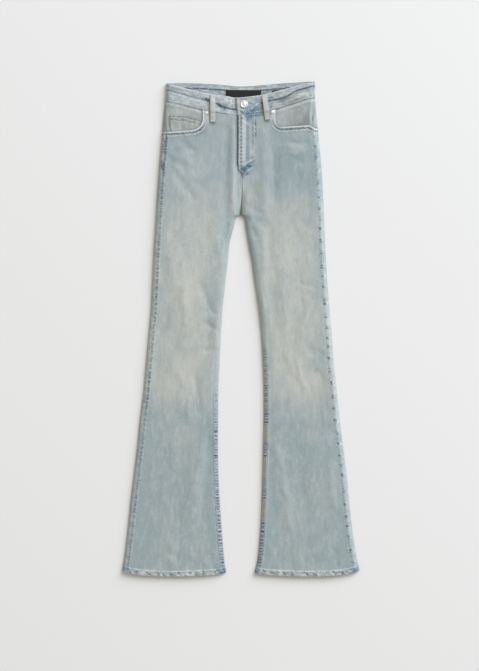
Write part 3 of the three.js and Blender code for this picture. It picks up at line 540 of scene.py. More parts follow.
# Some dark places are painted shade: along the waist seam beside the fly and at the left pocket mouth's
# corner
BROWN_PATCHES = (
    (0, 800, 8, 14, 0, 0.4), (58, 1001, 7, 3, 0, 0.6), (-62, 996, 7, 3, 0, 0.6), (84, 990, 9, 4, -40, 0.5),
    (-88, 975, 12, 3, 25, 0.3), (0, 997, 6, 1.6, -10, 0.6), (2, 1006, 4, 3, 0, 0.55),
    (4, 898, 4, 5, 40, 0.6), (9, 893, 5, 2, -40, 0.6), (3, 884, 2.4, 7, 20, 0.5),
    (-1.5, 872, 1.8, 9, 0, 0.45), (24, 921, 7, 2, 40, 0.5), (157, 1004, 1.8, 10, 0, 0.8),
    (164, 994, 3, 4, 30, 0.5), (162, 980, 2, 7, 20, 0.4), (169, 905, 2.5, 8, 20, 0.5),
    (-172, 896, 3, 13, 15, 0.6), (-166, 990, 1.6, 24, 0, 0.4), (-171, 930, 1.6, 12, 0, 0.3),
    (30, 1014.5, 22, 1.6, 4, 0.55), (-46, 930, 5, 60, 0, 0.08), (170, 870, 3, 3, 0, 0.5),
    (170, 850, 3, 3, 0, 0.5),
)


def patches(x, y, table):
    """Soft patches added up: x, y, half width, half height, turn in some tables, amount."""
    total = np.zeros(np.shape(x))
    for px, py, wide, tall, *turn, amount in table:
        u, v = turned(x - px, y - py, -sum(turn))
        total += amount * np.exp(-((u / wide) ** 2) - (v / tall) ** 2)
    return total


wash_pale, wash_blue = columns(WASH)


def washed_and_painted_shade(x, y, front=True):
    """How pale, how blue and how light or dark the cloth is. On the front some dark patches are painted
    shade.
    """
    spread = patches(x, y, PALE_PATCHES) - patches(x, y, DEEP_PATCHES)
    warm = ease((y - 300) / 130) * (1 - 0.6 * ease((y - 820) / 60))
    pale = wash_pale(y) + spread * mix(0.25, 1.3, warm)
    pale = pale + 0.16 * rough(x, y * 0.5, 26, 3) + 0.12 * rough(x, y * 0.5, 11, 4)
    blue = wash_blue(y) * (1 + 0.5 * rough(x, y, 30, 6))
    tone = 0.3 * spread * (1 - warm)
    if front:
        blue = blue + patches(x, y, BLUE_PATCHES) * (0.75 + 0.5 * rough(x, y, 3.5, 5))
        tone = tone + patches(x, y, WHITE_PATCHES) - patches(x, y, BROWN_PATCHES)
    return pale, np.clip(blue, 0, 1.6), tone


def washed_back(x, y):
    return washed_and_painted_shade(x, y, front=False)


def linear(*srgb):
    """A linear colour from one of 0 to 255."""
    shares = [c / 255 for c in srgb]
    return (*(c / 12.92 if c <= 0.04045 else ((c + 0.055) / 1.055) ** 2.4 for c in shares), 1)


DEEP = linear(149, 164, 166)
PALE = linear(186, 188, 181)
BLUE = linear(84, 124, 155)
WHITE = linear(216, 221, 220)
BROWN = linear(66, 70, 68)
ROPE = linear(100, 117, 124)
INK = linear(52, 68, 90)
NAVY = linear(44, 74, 104)
BEIGE = linear(184, 178, 160)
FACING_DEEP = linear(142, 150, 147)
FACING_PALE = linear(190, 199, 195)
THREAD = linear(196, 203, 199)


class Nodes:
    """A material's node tree, with short ways to make its nodes."""

    def __init__(self, name):
        self.material = bpy.data.materials.new(name)
        self.material.use_nodes = True
        self.tree = self.material.node_tree
        self.shader = self.tree.nodes["Principled BSDF"]

    def new(self, kind, *inputs, **settings):
        node = self.tree.nodes.new(kind)
        for key, value in settings.items():
            setattr(node, key, value)
        for n, value in enumerate(inputs):
            self.feed(value, node.inputs[n])
        return node

    def feed(self, value, socket):
        if isinstance(value, bpy.types.NodeSocket):
            self.tree.links.new(value, socket)
        elif value is not None:
            socket.default_value = value

    def math(self, operation, *inputs, clamp=False):
        return self.new("ShaderNodeMath", *inputs, operation=operation, use_clamp=clamp).outputs[0]

    def part(self, attribute):
        held = self.new("ShaderNodeAttribute", attribute_name=attribute)
        return self.new("ShaderNodeSeparateXYZ", held.outputs["Vector"]).outputs

    def blend(self, share, a, b):
        node = self.new("ShaderNodeMix", data_type="RGBA")
        for value, socket in ((share, node.inputs[0]), (a, node.inputs[6]), (b, node.inputs[7])):
            self.feed(value, socket)
        return node.outputs[2]

    def span(self, value, low, high, out_low=0.0, out_high=1.0):
        return self.new("ShaderNodeMapRange", value, low, high, out_low, out_high,
                        interpolation_type="SMOOTHSTEP").outputs[0]

    def point(self, x, y, z=0.0):
        return self.new("ShaderNodeCombineXYZ", x, y, z).outputs[0]

    def noise(self, vector, scale, detail=2.0, roughness=0.5):
        node = self.new("ShaderNodeTexNoise")
        values = {"Vector": vector, "Scale": scale, "Detail": detail, "Roughness": roughness}
        for key, value in values.items():
            self.feed(value, node.inputs[key])
        return node.outputs[0]

    def bump(self, height, distance):
        node = self.new("ShaderNodeBump")
        for key, value in (("Strength", 1.0), ("Distance", distance), ("Height", height)):
            self.feed(value, node.inputs[key])
        self.finish(Normal=node.outputs[0])

    def finish(self, **sockets):
        """Sets or links the shader's sockets, their names with underscores for spaces."""
        for key, value in sockets.items():
            self.feed(value, self.shader.inputs[key.replace("_", " ")])


def millimetres(nodes, x_scale=1.0, y_scale=1.0, turn=0.0):
    """Object coordinates in millimetres, stretched and turned."""
    place = nodes.new("ShaderNodeTexCoord").outputs["Object"]
    mapping = nodes.new("ShaderNodeMapping", place)
    mapping.inputs["Rotation"].default_value[2] = math.radians(turn)
    mapping.inputs["Scale"].default_value = (1000 * x_scale, 1000 * y_scale, 1000)
    return mapping.outputs[0]


class Denim(Nodes):
    """Washed denim: twill, uneven warp yarns and mottled fading, then the marks of the seams near it, some of
    them painted shade and highlight.
    """

    def __init__(self, name, deep, pale, *marks):
        super().__init__(name)
        self.fade, self.blue, self.tone = self.part("dye_and_painted_shade")
        wander = self.noise(millimetres(self, 0.35, 0.35), 1.0, 2.0)
        aside = self.span(wander, 0.3, 0.7, -1.1, 1.1)
        self.seams = [self.math("ADD", away, aside) for away in self.part("seams")]
        self.edge = [self.math("ADD", away, aside) for away in self.part("edge")]
        place = self.new("ShaderNodeSeparateXYZ", millimetres(self)).outputs
        ahead = self.span(self.noise(millimetres(self, 0.5, 0.5), 1.0, 2.0), 0.3, 0.7, -1.3, 1.3)
        self.place = [self.math("ADD", place[0], ahead), self.math("ADD", place[1], ahead)]
        slub = self.noise(millimetres(self, 0.7, 0.06), 1.0, 3.0)
        mottle = self.noise(millimetres(self, 0.12, 0.04), 1.0, 4.0, 0.6)
        self.fleck = self.noise(millimetres(self, 0.4, 0.32), 1.0, 2.0)
        share = self.math("ADD", self.fade, self.span(slub, 0.3, 0.7, -0.07, 0.07))
        share = self.math("ADD", share, self.span(mottle, 0.3, 0.7, -0.1, 0.1), clamp=True)
        self.colour = self.blend(share, deep, pale)
        self.mottle(mottle, (0.5, 0.75), 0.16, (0.5, 0.25), 0.13)
        self.mottle(self.fleck, (0.52, 0.75), 0.16, (0.48, 0.25), 0.14)
        self.relief = self.math("MULTIPLY", slub, 0.12)
        for mark in marks:
            getattr(self, mark)()
        blotch = self.span(self.fleck, 0.35, 0.6, 0.3, 1.0)
        self.dab(self.math("MULTIPLY", self.blue, blotch), BLUE, 0.9)
        self.dab(self.both(self.span(self.blue, 0.85, 1.5), self.span(self.fleck, 0.4, 0.55)), NAVY, 0.75)
        # The tone lays white and brown: wear and dark marks, and in places painted shade
        self.dab(self.math("MULTIPLY", self.math("MAXIMUM", self.tone, 0.0), blotch), WHITE, 1.0)
        self.dab(self.math("MULTIPLY", self.math("MINIMUM", self.tone, 0.0), -1.0), BROWN, 1.0)
        twill = self.new(
            "ShaderNodeTexWave", millimetres(self, 1.0, 1.0, 62), 0.16, wave_type="BANDS").outputs["Fac"]
        self.dab(twill, WHITE, 0.08)
        self.raise_by(twill, 0.05)
        self.finish(
            Base_Color=self.colour, Roughness=0.92, Specular_IOR_Level=0.2, Sheen_Weight=0.12,
            Sheen_Roughness=0.6)
        self.bump(self.relief, 0.001)

    def dab(self, share, colour, amount):
        """Lays a colour over the cloth where share is 1."""
        share = self.math("MULTIPLY", share, amount, clamp=True)
        self.colour = self.blend(share, self.colour, colour)

    def mottle(self, field, light_span, light, dark_span, dark, share=1.0):
        """Lays white where a field is high and blue-grey where it is low."""
        self.dab(self.both(self.span(field, *light_span), share), WHITE, light)
        self.dab(self.both(self.span(field, *dark_span), share), ROPE, dark)

    def mark(self, distance, shape, colour, amount, *shares):
        """Lays a colour along a seam, on a line (centre, width) or a strip (low, high, softness)."""
        near = self.line(distance, *shape) if len(shape) == 2 else self.strip(distance, *shape)
        self.dab(self.both(near, *shares), colour, amount)

    def raise_by(self, share, height):
        self.relief = self.math("ADD", self.relief, self.math("MULTIPLY", share, height))

    def line(self, distance, centre, width):
        """1 along a line this far from a seam."""
        away = self.math("ABSOLUTE", self.math("SUBTRACT", distance, centre))
        return self.span(away, width * 1.1, width * 0.1)

    def strip(self, distance, low, high, soft):
        near = self.span(distance, low - soft / 2, low + soft / 2)
        return self.both(near, self.span(distance, high + soft / 2, high - soft / 2))

    def beads(self, along, pitch, seed, low=0.46, high=0.54):
        """Uneven marks along a seam."""
        place = self.point(self.math("MULTIPLY", along, 1.0 / pitch), seed)
        return self.span(self.noise(place, 1.0, 1.0), low, high)

    def pulse(self, along, period):
        """Even marks along a seam."""
        turn = self.math("MULTIPLY", along, 2 * math.pi / period)
        return self.span(self.math("SINE", turn), -0.5, 0.8)

    def both(self, *shares):
        total = shares[0]
        for share in shares[1:]:
            total = self.math("MULTIPLY", total, share)
        return total

    def rope(self, along, across, share, light, dark, fine=0.3):
        """Slanted light and dark bars, where the layers of a seam twist."""
        slanted = self.point(self.both(self.math("ADD", along, across), fine), self.both(across, 0.12))
        bars = self.noise(slanted, 1.0, 2.0, 0.6)
        self.mottle(bars, (0.5, 0.6), light, (0.48, 0.38), dark, share)
        self.raise_by(self.both(bars, share), 0.7)

    def leg_seams(self):
        """Side seam, inseam and hem."""
        side, inner, hem = self.seams
        x, y = self.place
        spots, knots, worn = self.part("marks")
        self.rope(y, side, self.both(self.span(side, 9.5, 7), 0.6, spots), 0.7, 0.5)
        dots = self.both(self.line(side, 10.2, 4.4), self.beads(y, 5.2, 3.0, 0.42, 0.56), spots)
        self.dab(dots, ROPE, 0.9)
        self.dab(dots, BROWN, 0.3)
        self.raise_by(dots, -0.6)
        self.mark(side, (14.2, 2.2), WHITE, 0.3, self.beads(y, 6.0, 8.0))

        even = self.beads(y, 24.0, 6.0, 0.35, 0.6)
        uneven_way = self.math("ADD", y, self.both(self.beads(y, 12.0, 4.0, 0.1, 0.9), 4.0))
        rungs = self.math(
            "MAXIMUM", self.both(self.pulse(uneven_way, 6.2), even),
            self.both(self.beads(y, 4.4, 1.0), self.math("SUBTRACT", 1.0, even)))
        ladder = (0.8, 8.0, 1.6)
        self.rope(y, inner, self.both(self.span(inner, 10.5, 9.5), 0.35), 0.4, 0.4)
        self.mark(inner, (0.4, 9.6, 1.6), BEIGE, 0.75, worn)
        self.mark(inner, (5.2, 2.0), BROWN, 0.55, worn)
        self.mark(inner, ladder, WHITE, 0.35, knots)
        self.mark(inner, ladder, INK, 1.35, rungs, knots)
        self.mark(inner, (10.2, 1.6), BLUE, 0.8, self.beads(y, 5.0, 9.0), knots)
        self.mark(inner, (12.6, 1.6), WHITE, 0.2)

        self.rope(x, hem, self.span(hem, 10.4, 9.2), 0.7, 1.2, 0.13)
        self.mark(hem, (-1.0, 9.6, 1.2), BEIGE, 0.4, self.beads(x, 11.0, 7.0, 0.5, 0.6))
        self.mark(hem, (11.2, 1.7), WHITE, 0.75, self.beads(x, 9.0, 2.0, 0.3, 0.55))
        self.mark(hem, (8.6, 1.2), BROWN, 0.22)
        self.raise_by(self.line(hem, 11.2, 1.6), -0.25)

    def mouth(self):
        """A pocket mouth: a pale turned edge, a puckered strip and a second pale ridge."""
        away = self.edge[0]
        x, y = self.place
        along = self.math("ADD", x, y)
        level = self.span(y, 999 + FRAME_Y, 986 + FRAME_Y)
        self.dab(self.span(away, 3.8, 2.4), WHITE, 0.95)
        self.mark(away, (3.8, 8.2, 1.2), BROWN, 0.42, self.beads(along, 30.0, 4.0, 0.2, 0.5), level)
        dots = self.both(self.line(away, 6.0, 2.6), self.beads(along, 3.4, 6.0, 0.47, 0.52), level)
        self.dab(dots, BROWN, 0.5)
        self.mark(away, (8.4, 11.0, 1.2), WHITE, 0.45, self.beads(along, 14.0, 2.0, 0.3, 0.5), level)
        self.mark(away, (12.2, 1.6), BROWN, 0.16, level)
        self.raise_by(dots, -0.5)

    def fly(self):
        """The fly: its shadowed edge, a beaded pale strip and the double rows of its shield."""
        lap, row = self.edge[1], self.edge[2]
        x, y = self.place
        self.dab(self.span(lap, 1.8, 0.4), BROWN, 0.7)
        self.mark(lap, (3.0, 1.3), WHITE, 0.6)
        self.mark(lap, (8.0, 16.8, 1.6), WHITE, 0.62)
        self.mark(lap, (6.4, 2.8), BROWN, 0.85, self.pulse(y, 8.1))
        self.mark(lap, (17.0, 24.0, 2.0), ROPE, 0.45, self.beads(y, 3.6, 1.0))
        shown = self.strip(y, 940 + FRAME_Y, 1006 + FRAME_Y, 10.0)
        for place, seed in ((-0.4, 2.0), (5.2, 5.0)):
            sewn = self.line(row, place, 2.4)
            knots = self.beads(self.math("ADD", y, x), 4.2, seed, 0.47, 0.52)
            self.dab(self.both(sewn, knots, shown), INK, 1.0)
            self.raise_by(sewn, -0.3)
        self.mark(row, (2.4, 1.5), WHITE, 0.3)

    def waistband(self):
        """The rolled waistband: its deep crease, dark with painted shade and unfaded blue under a painted
        highlight; its worn edges, the top one also with a painted highlight and the seam with a painted
        shadow; and wrinkles.
        """
        top, bottom, crease = self.seams
        x = self.place[0]
        blotch = self.noise(millimetres(self, 0.07, 0.2), 1.0, 4.0, 0.65)
        self.mottle(blotch, (0.51, 0.62), 0.65, (0.48, 0.37), 0.5)
        self.raise_by(blotch, 1.3)
        uneven = self.beads(x, 22.0, 3.0, 0.2, 0.5)
        # Painted highlight on the roll above the crease
        self.mark(crease, (1.6, 5.0, 1.5), WHITE, 0.45, uneven)
        # Dark line in the crease: painted shade and unfaded blue
        self.mark(crease, (-0.2, 2.6), ROPE, 0.95, uneven)
        self.mark(crease, (0.2, 2.2), INK, 0.9, self.beads(x, 16.0, 2.0, 0.3, 0.5))
        self.mark(crease, (-1.4, 1.6), BLUE, 0.35, self.beads(x, 12.0, 6.0))
        self.rope(x, top, self.both(self.span(top, 4.5, 3.2), 0.8), 0.7, 0.45)
        # Pale top edge: wear and painted highlight
        self.dab(self.span(top, 2.2, 0.8), WHITE, 0.4)
        self.mark(top, (4.4, 1.2), BROWN, 0.25, self.beads(x, 3.0, 8.0))
        self.mark(bottom, (3.2, 1.6), WHITE, 0.6, self.beads(x, 10.0, 5.0, 0.3, 0.5))
        self.rope(x, bottom, self.both(self.span(bottom, 8.5, 6.5), 0.6), 0.5, 0.5)
        # Painted shadow along the waist seam
        self.dab(self.span(bottom, 1.8, 0.4), BROWN, 0.15)

    def hemmed(self):
        """A narrow hem: dark at its edge and along its second row of stitching."""
        away = self.edge[0]
        x = self.place[0]
        self.dab(self.span(away, 2.4, 1.0), BROWN, 0.75)
        self.mark(away, (1.8, 4.2, 1.2), WHITE, 0.3, self.beads(x, 6.0, 4.0, 0.3, 0.5))
        self.mark(away, (4.0, 7.4, 1.2), BROWN, 0.45, self.beads(x, 5.0, 9.0))
        self.mark(away, (8.4, 1.8), BROWN, 0.7, self.beads(x, 5.0, 2.0, 0.3, 0.5))
        self.mark(away, (9.4, 11.4, 1.2), WHITE, 0.25)


def plain_cloth(name, colour, light, stretch=(1.0, 1.0), roughness=0.8, sheen=0.1):
    """Fine cloth or thread of one colour with uneven yarns."""
    n = Nodes(name)
    yarn = n.noise(millimetres(n, *stretch), 1.0, 3.0)
    weave = n.new("ShaderNodeTexWave", millimetres(n, 1.0, 1.0, 45), 0.5, wave_type="BANDS").outputs["Fac"]
    share = n.math("MULTIPLY", n.math("ADD", yarn, n.math("MULTIPLY", weave, 0.3)), 0.75, clamp=True)
    n.finish(Base_Color=n.blend(share, colour, light), Roughness=roughness, Sheen_Weight=sheen)
    n.bump(n.math("ADD", yarn, weave), 0.00008)
    return n.material


def metal(name, colour, dark, roughness, metallic=1.0):
    """Bright metal with fine scratches and patches of tarnish."""
    n = Nodes(name)
    worn = n.noise(millimetres(n, 0.6, 0.6), 1.0, 5.0, 0.65)
    scratch = n.noise(millimetres(n, 0.2, 6.0, 25), 1.0, 3.0)
    n.finish(
        Base_Color=n.blend(n.span(worn, 0.55, 0.8), colour, dark), Metallic=metallic,
        Roughness=n.span(scratch, 0.3, 0.7, roughness - 0.06, roughness + 0.1))
    n.bump(scratch, 0.00002)
    return n.material


leg_cloth = Denim("washed denim leg", DEEP, PALE, "leg_seams", "mouth", "fly").material
band_cloth = Denim("washed denim waistband", DEEP, PALE, "waistband").material
hemmed_cloth = Denim("washed denim pocket", FACING_DEEP, PALE, "hemmed").material
cloth = Denim("washed denim", DEEP, PALE).material
facing_cloth = Denim("facing denim", FACING_DEEP, FACING_PALE).material
thread = plain_cloth("topstitching thread", THREAD, linear(226, 229, 225), (3.0, 3.0), 0.6, 0.2)
faded_thread = plain_cloth("faded thread", linear(150, 161, 163), linear(186, 194, 193), (3.0, 3.0), 0.7, 0.1)
label_cloth = plain_cloth("black label tape", linear(12, 12, 13), linear(30, 29, 31), (0.3, 2.5), 0.7, 0.02)
silver = metal("silver metal", linear(242, 240, 235), linear(214, 212, 207), 0.4, 0.55)
zip_metal = metal("zip metal", linear(170, 172, 174), linear(120, 120, 122), 0.4)
tape_cloth = plain_cloth("zip tape", linear(112, 128, 136), linear(140, 154, 160), (0.6, 2.0))

# Distances of a panel's outermost columns from its edge
EDGE_STEPS = np.array([0, 0.4, 1.2, 2.2, 3.4, 4.8, 6.4, 8, 9.6, 11.2, 12.6])


def across_columns(spans, steps=EDGE_STEPS, radius=ROUND):
    """Shares and offsets of a panel's columns: close together at its edges, even between them."""
    between = np.linspace(0, 1, spans + 1)
    share = np.concatenate([np.zeros(len(steps)), between, np.ones(len(steps))])
    offset = np.concatenate([steps, radius * (1 - 2 * between), -steps[::-1]])
    return share[None, :], offset[None, :]


# The lap at the fly: how wide the right front stays sunk, where it is level again, and how deep it sinks
LAP_FLAT = 7
LAP_RAMP = 20
FLY_LAP = DENIM + LAP


def lap_depth(side, y, from_inner):
    """How far the right front sinks under the left front along the fly."""
    if side == "left":
        return np.zeros(np.shape(y))
    up = ease((y - 872) / 14)
    return FLY_LAP * up * (1 - ease((from_inner - LAP_FLAT) / (LAP_RAMP - LAP_FLAT)))


# The outer row of stitching on the fly, from the waist down
FLY_LINE = (
    (31.5, 1030), (31.5, 985), (31.5, 945), (30.5, 932), (27, 922), (20, 914.5), (12, 908.5), (3, 902),
)


def front_relief(side, x, y, base, from_side, from_inner):
    """Low relief of sewn edges on a front panel."""
    hem = within(base, -5, 12, 1.4) * (0.8 + 0.28 * rough(x + base, base * 0.4, 5, 11))
    hem = hem - 0.3 * dome(base - 11.2, 0.8)
    pucker = rough(y + from_side * 0.6, from_side * 0.3, 7, 12)
    ridge = within(from_side, 3, 13, 2.5) * (0.45 + 0.3 * pucker)
    ridge -= 0.25 * dome(from_side - 13.5, 1.6) * (0.5 + 0.5 * rough(y, 0, 6, 13))
    felled = within(from_inner, 2, 11.5, 2) * (0.5 + 0.28 * rough(y + from_inner, from_inner * 0.4, 5, 14))
    felled = felled * ease((430 - y) / 60)
    below, _, _, along = from_mouth(side)(x, y)
    stitched = within(below, -3, 3.5, 1.5) * 0.5 + within(below, 8.6, 12.2, 1.5) * 0.35
    stitched += within(below, 3, 12, 3) * 0.2 * rough(along, below * 0.3, 7, 15)
    waist = -0.4 * dome(np.maximum(seam_y(x) - GAP / 2 - y, 0), 1.5)
    total = hem + ridge + felled + stitched + waist
    if side == "left":
        j_line, _, _, way = line_distance(x, y, FLY_LINE)
        shield = within(y, 880, 1035, 8)
        total = total + shield * (0.35 * ease(-j_line / 2.5) * ease((from_inner) / 2))
        total = total - shield * 0.3 * (dome(j_line, 1.1) + dome(j_line + 5, 1.1))
        total = total + shield * 0.22 * within(-j_line, 0, 30, 5) * rough(y, x * 0.6, 6, 16)
    seam = within(y, 800, 880, 6)
    rise = 0.4 * within(from_inner, 0.5, 6, 1.5) + 0.15 * rough(y, x, 5, 17) * dome(from_inner, 9)
    return total + seam * rise


def front_surface(side, x, y, base):
    """Both faces of a front panel with its relief and its lap."""
    outer, inner, shift, from_side, from_inner = front_form(side, x, y)
    lap = lap_depth(side, y, from_inner)
    soft = rounding(np.minimum(from_side, np.where(y < CROTCH_Y, from_inner, ROUND)), 4)
    outer = outer + front_relief(side, x, y, base, from_side, from_inner) * soft - lap
    return outer, inner - lap, shift


def front_bend(base, x, across):
    return hem_bend(base, across) + to_seam(base, x)


def seam_distances(side, centre=None):
    """Distances from a leg panel's side seam, from its inseam below the knee, and from its hem."""
    def measure(x, y):
        from_side = OUT[side] * (side_x[side](y) - x)
        from_inner = OUT[side] * (x - inner_x(side, y, centre))
        across = np.clip(from_inner / np.maximum(from_inner + from_side, 1), 0, 1)
        sewn = from_side + 12 * ease((y - 975) / 12)
        return sewn, from_inner + 60 * ease((y - 505) / 40), y - hem_y(across)
    return measure


# How strong the inseam's puckers are on each leg, and the worn patches on the left: y, right, left, worn
INSEAM_MARKS = (
    (0, 0.9, 0.8, 0.2), (40, 0.9, 0.9, 0.1), (118, 1, 1, 0.1), (125, 1, 0.3, 0.7), (165, 1, 0.3, 0.8),
    (172, 1, 0.9, 0.2), (196, 1, 0.9, 0.2), (203, 0.8, 0.2, 0.8), (236, 0.6, 0.2, 0.9), (260, 0.9, 0.2, 0.9),
    (267, 0.9, 1, 0.1), (293, 0.9, 1, 0.1), (299, 0.9, 0.2, 0.9), (331, 1, 0.2, 0.8), (338, 0.6, 1, 0.1),
    (356, 0.5, 1, 0.2), (376, 0.4, 0.5, 0.5), (420, 0.3, 0.7, 0.4), (470, 0.15, 0.6, 0.3),
    (520, 0, 0.3, 0.1), (545, 0, 0, 0),
)
right_knots, left_knots, left_worn = columns(INSEAM_MARKS)


def seam_marks(side):
    """How strong the puckers are: even down the right side seam, and in clumps down the left."""
    def measure(x, y):
        if side == "right":
            return 0.8 + 0.3 * rough(y, 0, 40, 35) + 0.9 * within(y, 884, 968, 10), right_knots(y), 0 * y
        beat = np.sin(2 * math.pi * (y / 26 + 0.35 * rough(y, 0, 45, 36)))
        return np.maximum(1.3 * ease((beat - 0.3) / 0.5), 0.15), left_knots(y), left_worn(y)
    return measure


def leg_dye_and_painted_shade(side, centre=None):
    """The wash of a leg panel: deeper along its seams, and bluer at the corners of its hem. On the right
    front, a painted shadow beside the fly's edge.
    """
    def measure(x, y):
        pale, blue, tone = washed_and_painted_shade(x, y, centre is None)
        from_side = OUT[side] * (side_x[side](y) - x)
        from_inner = OUT[side] * (x - inner_x(side, y, centre))
        edge = np.minimum(from_side, np.where(y < CROTCH_Y, from_inner, FAR))
        pale = pale - 0.35 * dome(np.maximum(edge, 0), 30)
        across = np.clip(from_inner / np.maximum(from_inner + from_side, 1), 0, 1)
        base = y - hem_y(across)
        corners = dome(base - 4, 11) * (dome(from_inner, 15) + dome(from_side, 18))
        low = ease((425 - y) / 60)
        at_inner = dome(from_inner - 5, 6) * low * np.maximum(0.6 * rough(y, 0, 26, 31) - 0.05, 0)
        blue = blue + 2.0 * corners * (0.7 + 0.4 * rough(x, y, 7, 33)) + at_inner
        tone = tone + within(from_side, 1, 9.5, 2) * (0.2 + 0.2 * rough(y, 8, 9, 38))
        # Painted shadow on the right front beside the left front's fly edge
        if side == "right" and centre is None:
            shaded = inner_x("left", y) - x
            tone = tone - 0.85 * within(y, 903, 1014, 5) * dome(shaded - 1.6, 2.6)
        return pale, np.clip(blue, 0, 1.6), tone
    return measure


def front_edges(side):
    """Distances from a front panel's pocket mouth, the fly's edge and the fly's outer row of stitching."""
    def measure(x, y):
        below = np.maximum(from_mouth(side)(x, y)[0], 0)
        if side == "right":
            return below, nowhere(x), nowhere(x)
        outside = 40 * ease((898 - y) / 10)
        row = -line_distance(x, y, FLY_LINE)[0]
        row = np.where(row < -2.5, FAR, row) + 40 * ease((902 - y) / 6)
        return below, x - inner_x(side, y) + outside, row
    return measure


# Rows of the leg panels, close together in the hem
FRONT_ROWS = np.concatenate([
    [0, 0.5, 1.4, 3, 5, 7, 9, 10.3, 11, 11.6, 12.2, 13, 14.5], np.linspace(16.5, WAIST_Y, 476),
])[:, None]


def front_panel(side):
    share, offset = across_columns(46)
    x, y = plan(side, share, offset, FRONT_ROWS, front_bend)
    keep = cut(x, y, from_mouth(side))
    outer, inner, shift = front_surface(side, x, y, FRONT_ROWS)
    piece = shell(f"cloth_front_{side}", x, y, outer, inner, leg_cloth, shift, keep)
    return paint(piece, leg_dye_and_painted_shade(side), seam_distances(side), front_edges(side), seam_marks(side))


# Back pockets: centre, top, width, height, depth of the point, taper, tilt
BACK_POCKET = dict(x=88, y=966, width=128, height=142, point=24, taper=8, tilt=3)


def on_pocket(side, x, y):
    """A place on a back pocket, from the middle of its top edge."""
    px, py = turned(x, y, OUT[side] * BACK_POCKET["tilt"])
    return OUT[side] * BACK_POCKET["x"] + px, BACK_POCKET["y"] + py


def pocket_outline(side, margin=0.0):
    """The corners of a back pocket with a margin round it."""
    p = BACK_POCKET
    half = p["width"] / 2 + margin
    low = half - p["taper"]
    shoulder = p["point"] - p["height"] - margin * 0.4
    foot = -p["height"] - margin * 1.1
    corners = [(-half, margin), (half, margin), (low, shoulder), (0, foot), (-low, shoulder)]
    return [on_pocket(side, x, y) for x, y in corners]


def closed(line):
    return [*line, line[0]]


def in_pocket(side):
    """A function for the distance from a back pocket's outline, positive outside it."""
    outline = closed(pocket_outline(side))
    return lambda x, y: -line_distance(x, y, outline)[0]


def back_surface(side, x, y, base):
    """The underside of a back panel: its creases and hem, and the bed that its pocket is let into."""
    from_side = OUT[side] * (side_x[side](y) - x)
    from_inner = OUT[side] * (x - inner_x(side, y, "back"))
    low = BACK_LIFT + np.maximum(fold_height(x, y, BACK_CREASES, 0.35) + 0.15 * rough(x, y, 30, 41), 0)
    low = low - 0.25 * within(base, -5, 12, 1.4) + 0.15 * dome(base - 11.2, 1)
    seams = within(from_side, 3, 11, 2) + within(from_inner, 2, 11, 2)
    low = low - 0.12 * seams * (1 + 0.6 * rough(y, x, 6, 42))
    low = np.maximum(low, 0.05)
    bed = POCKET + GAP
    away = in_pocket(side)(x, y) - 2
    sunk = 1 - ease(away / 3.5)
    bottom = mix(low, bed, sunk)
    top = np.maximum(bottom + WALL, DENIM) + 0.2 * sunk
    lift = 1 - rounding(np.minimum(from_side, np.where(y < CROTCH_Y, from_inner, ROUND)), 1.6)
    return bottom + 0.5 * lift * (1 - sunk), np.minimum(top, bed + DENIM)


BACK_ROWS = np.concatenate([[0, 1, 3, 6, 9, 11, 12.5, 14.5], np.linspace(18, YOKE_Y, 264)])[:, None]


def back_panel(side):
    share, offset = across_columns(34, EDGE_STEPS[::2])
    to_yoke = bend_to(lambda x: yoke_y(x) - GAP / 2, 870, YOKE_Y)
    bend = lambda base, x, across: hem_bend(base, across) + to_yoke(base, x)
    x, y = plan(side, share, offset, BACK_ROWS, bend, "back")
    outer, inner = back_surface(side, x, y, BACK_ROWS)
    piece = shell(f"cloth_back_{side}", x, y, outer, inner, leg_cloth)
    return paint(piece, leg_dye_and_painted_shade(side, "back"), seam_distances(side, "back"), None, seam_marks(side))


def yoke_piece(side):
    share, offset = across_columns(34, EDGE_STEPS[::2])
    rows = np.linspace(0, 1, 28)[:, None]
    x, y = settle(
        lambda y: mix(inner_x(side, y, "back"), side_x[side](y), share) + OUT[side] * offset,
        lambda x: mix(yoke_y(x) + GAP / 2, back_seam_y(x) - GAP / 2, rows),
        YOKE_Y + 0 * rows)
    from_low = y - yoke_y(x)
    bottom = BACK_LIFT + 0.12 * rough(x, y, 24, 43) - 0.15 * within(from_low, 0.5, 9, 1.5)
    piece = shell(f"cloth_yoke_{side}", x, y, bottom, np.full(x.shape, DENIM), leg_cloth)
    return paint(piece, washed_back, lambda px, py: (nowhere(px), nowhere(px), py - yoke_y(px)))


def back_pocket(side):
    """A patch pocket: five-sided, its top hem and its edges turned in."""
    p = BACK_POCKET
    u = np.linspace(-1, 1, 61)[None, :]
    v = np.linspace(0, 1, 65)[:, None]
    half = p["width"] / 2 - p["taper"] * np.clip(v * p["height"] / (p["height"] - p["point"]), 0, 1)
    x, y = on_pocket(side, u * half, -v * (p["height"] - p["point"] * np.abs(u)))
    away = -in_pocket(side)(x, y)
    edge = rounding(away, 1.5)
    bottom = 0.3 - 0.2 * within(away, 0, 8, 2) * edge + 0.35 * (1 - edge)
    bottom = bottom + 0.2 * dome(away - 2, 0.7) + 0.2 * dome(away - 7.5, 0.7)
    bottom = np.maximum(bottom + 0.1 * rough(x, y, 9, 44), 0.05)
    top = np.full(x.shape, POCKET) - 0.2 * (1 - edge)
    piece = shell(f"cloth_back_pocket_{side}", x, y, bottom, top, leg_cloth)
    return paint(piece, washed_back, lambda px, py: (nowhere(px), nowhere(px), 1 - in_pocket(side)(px, py)))


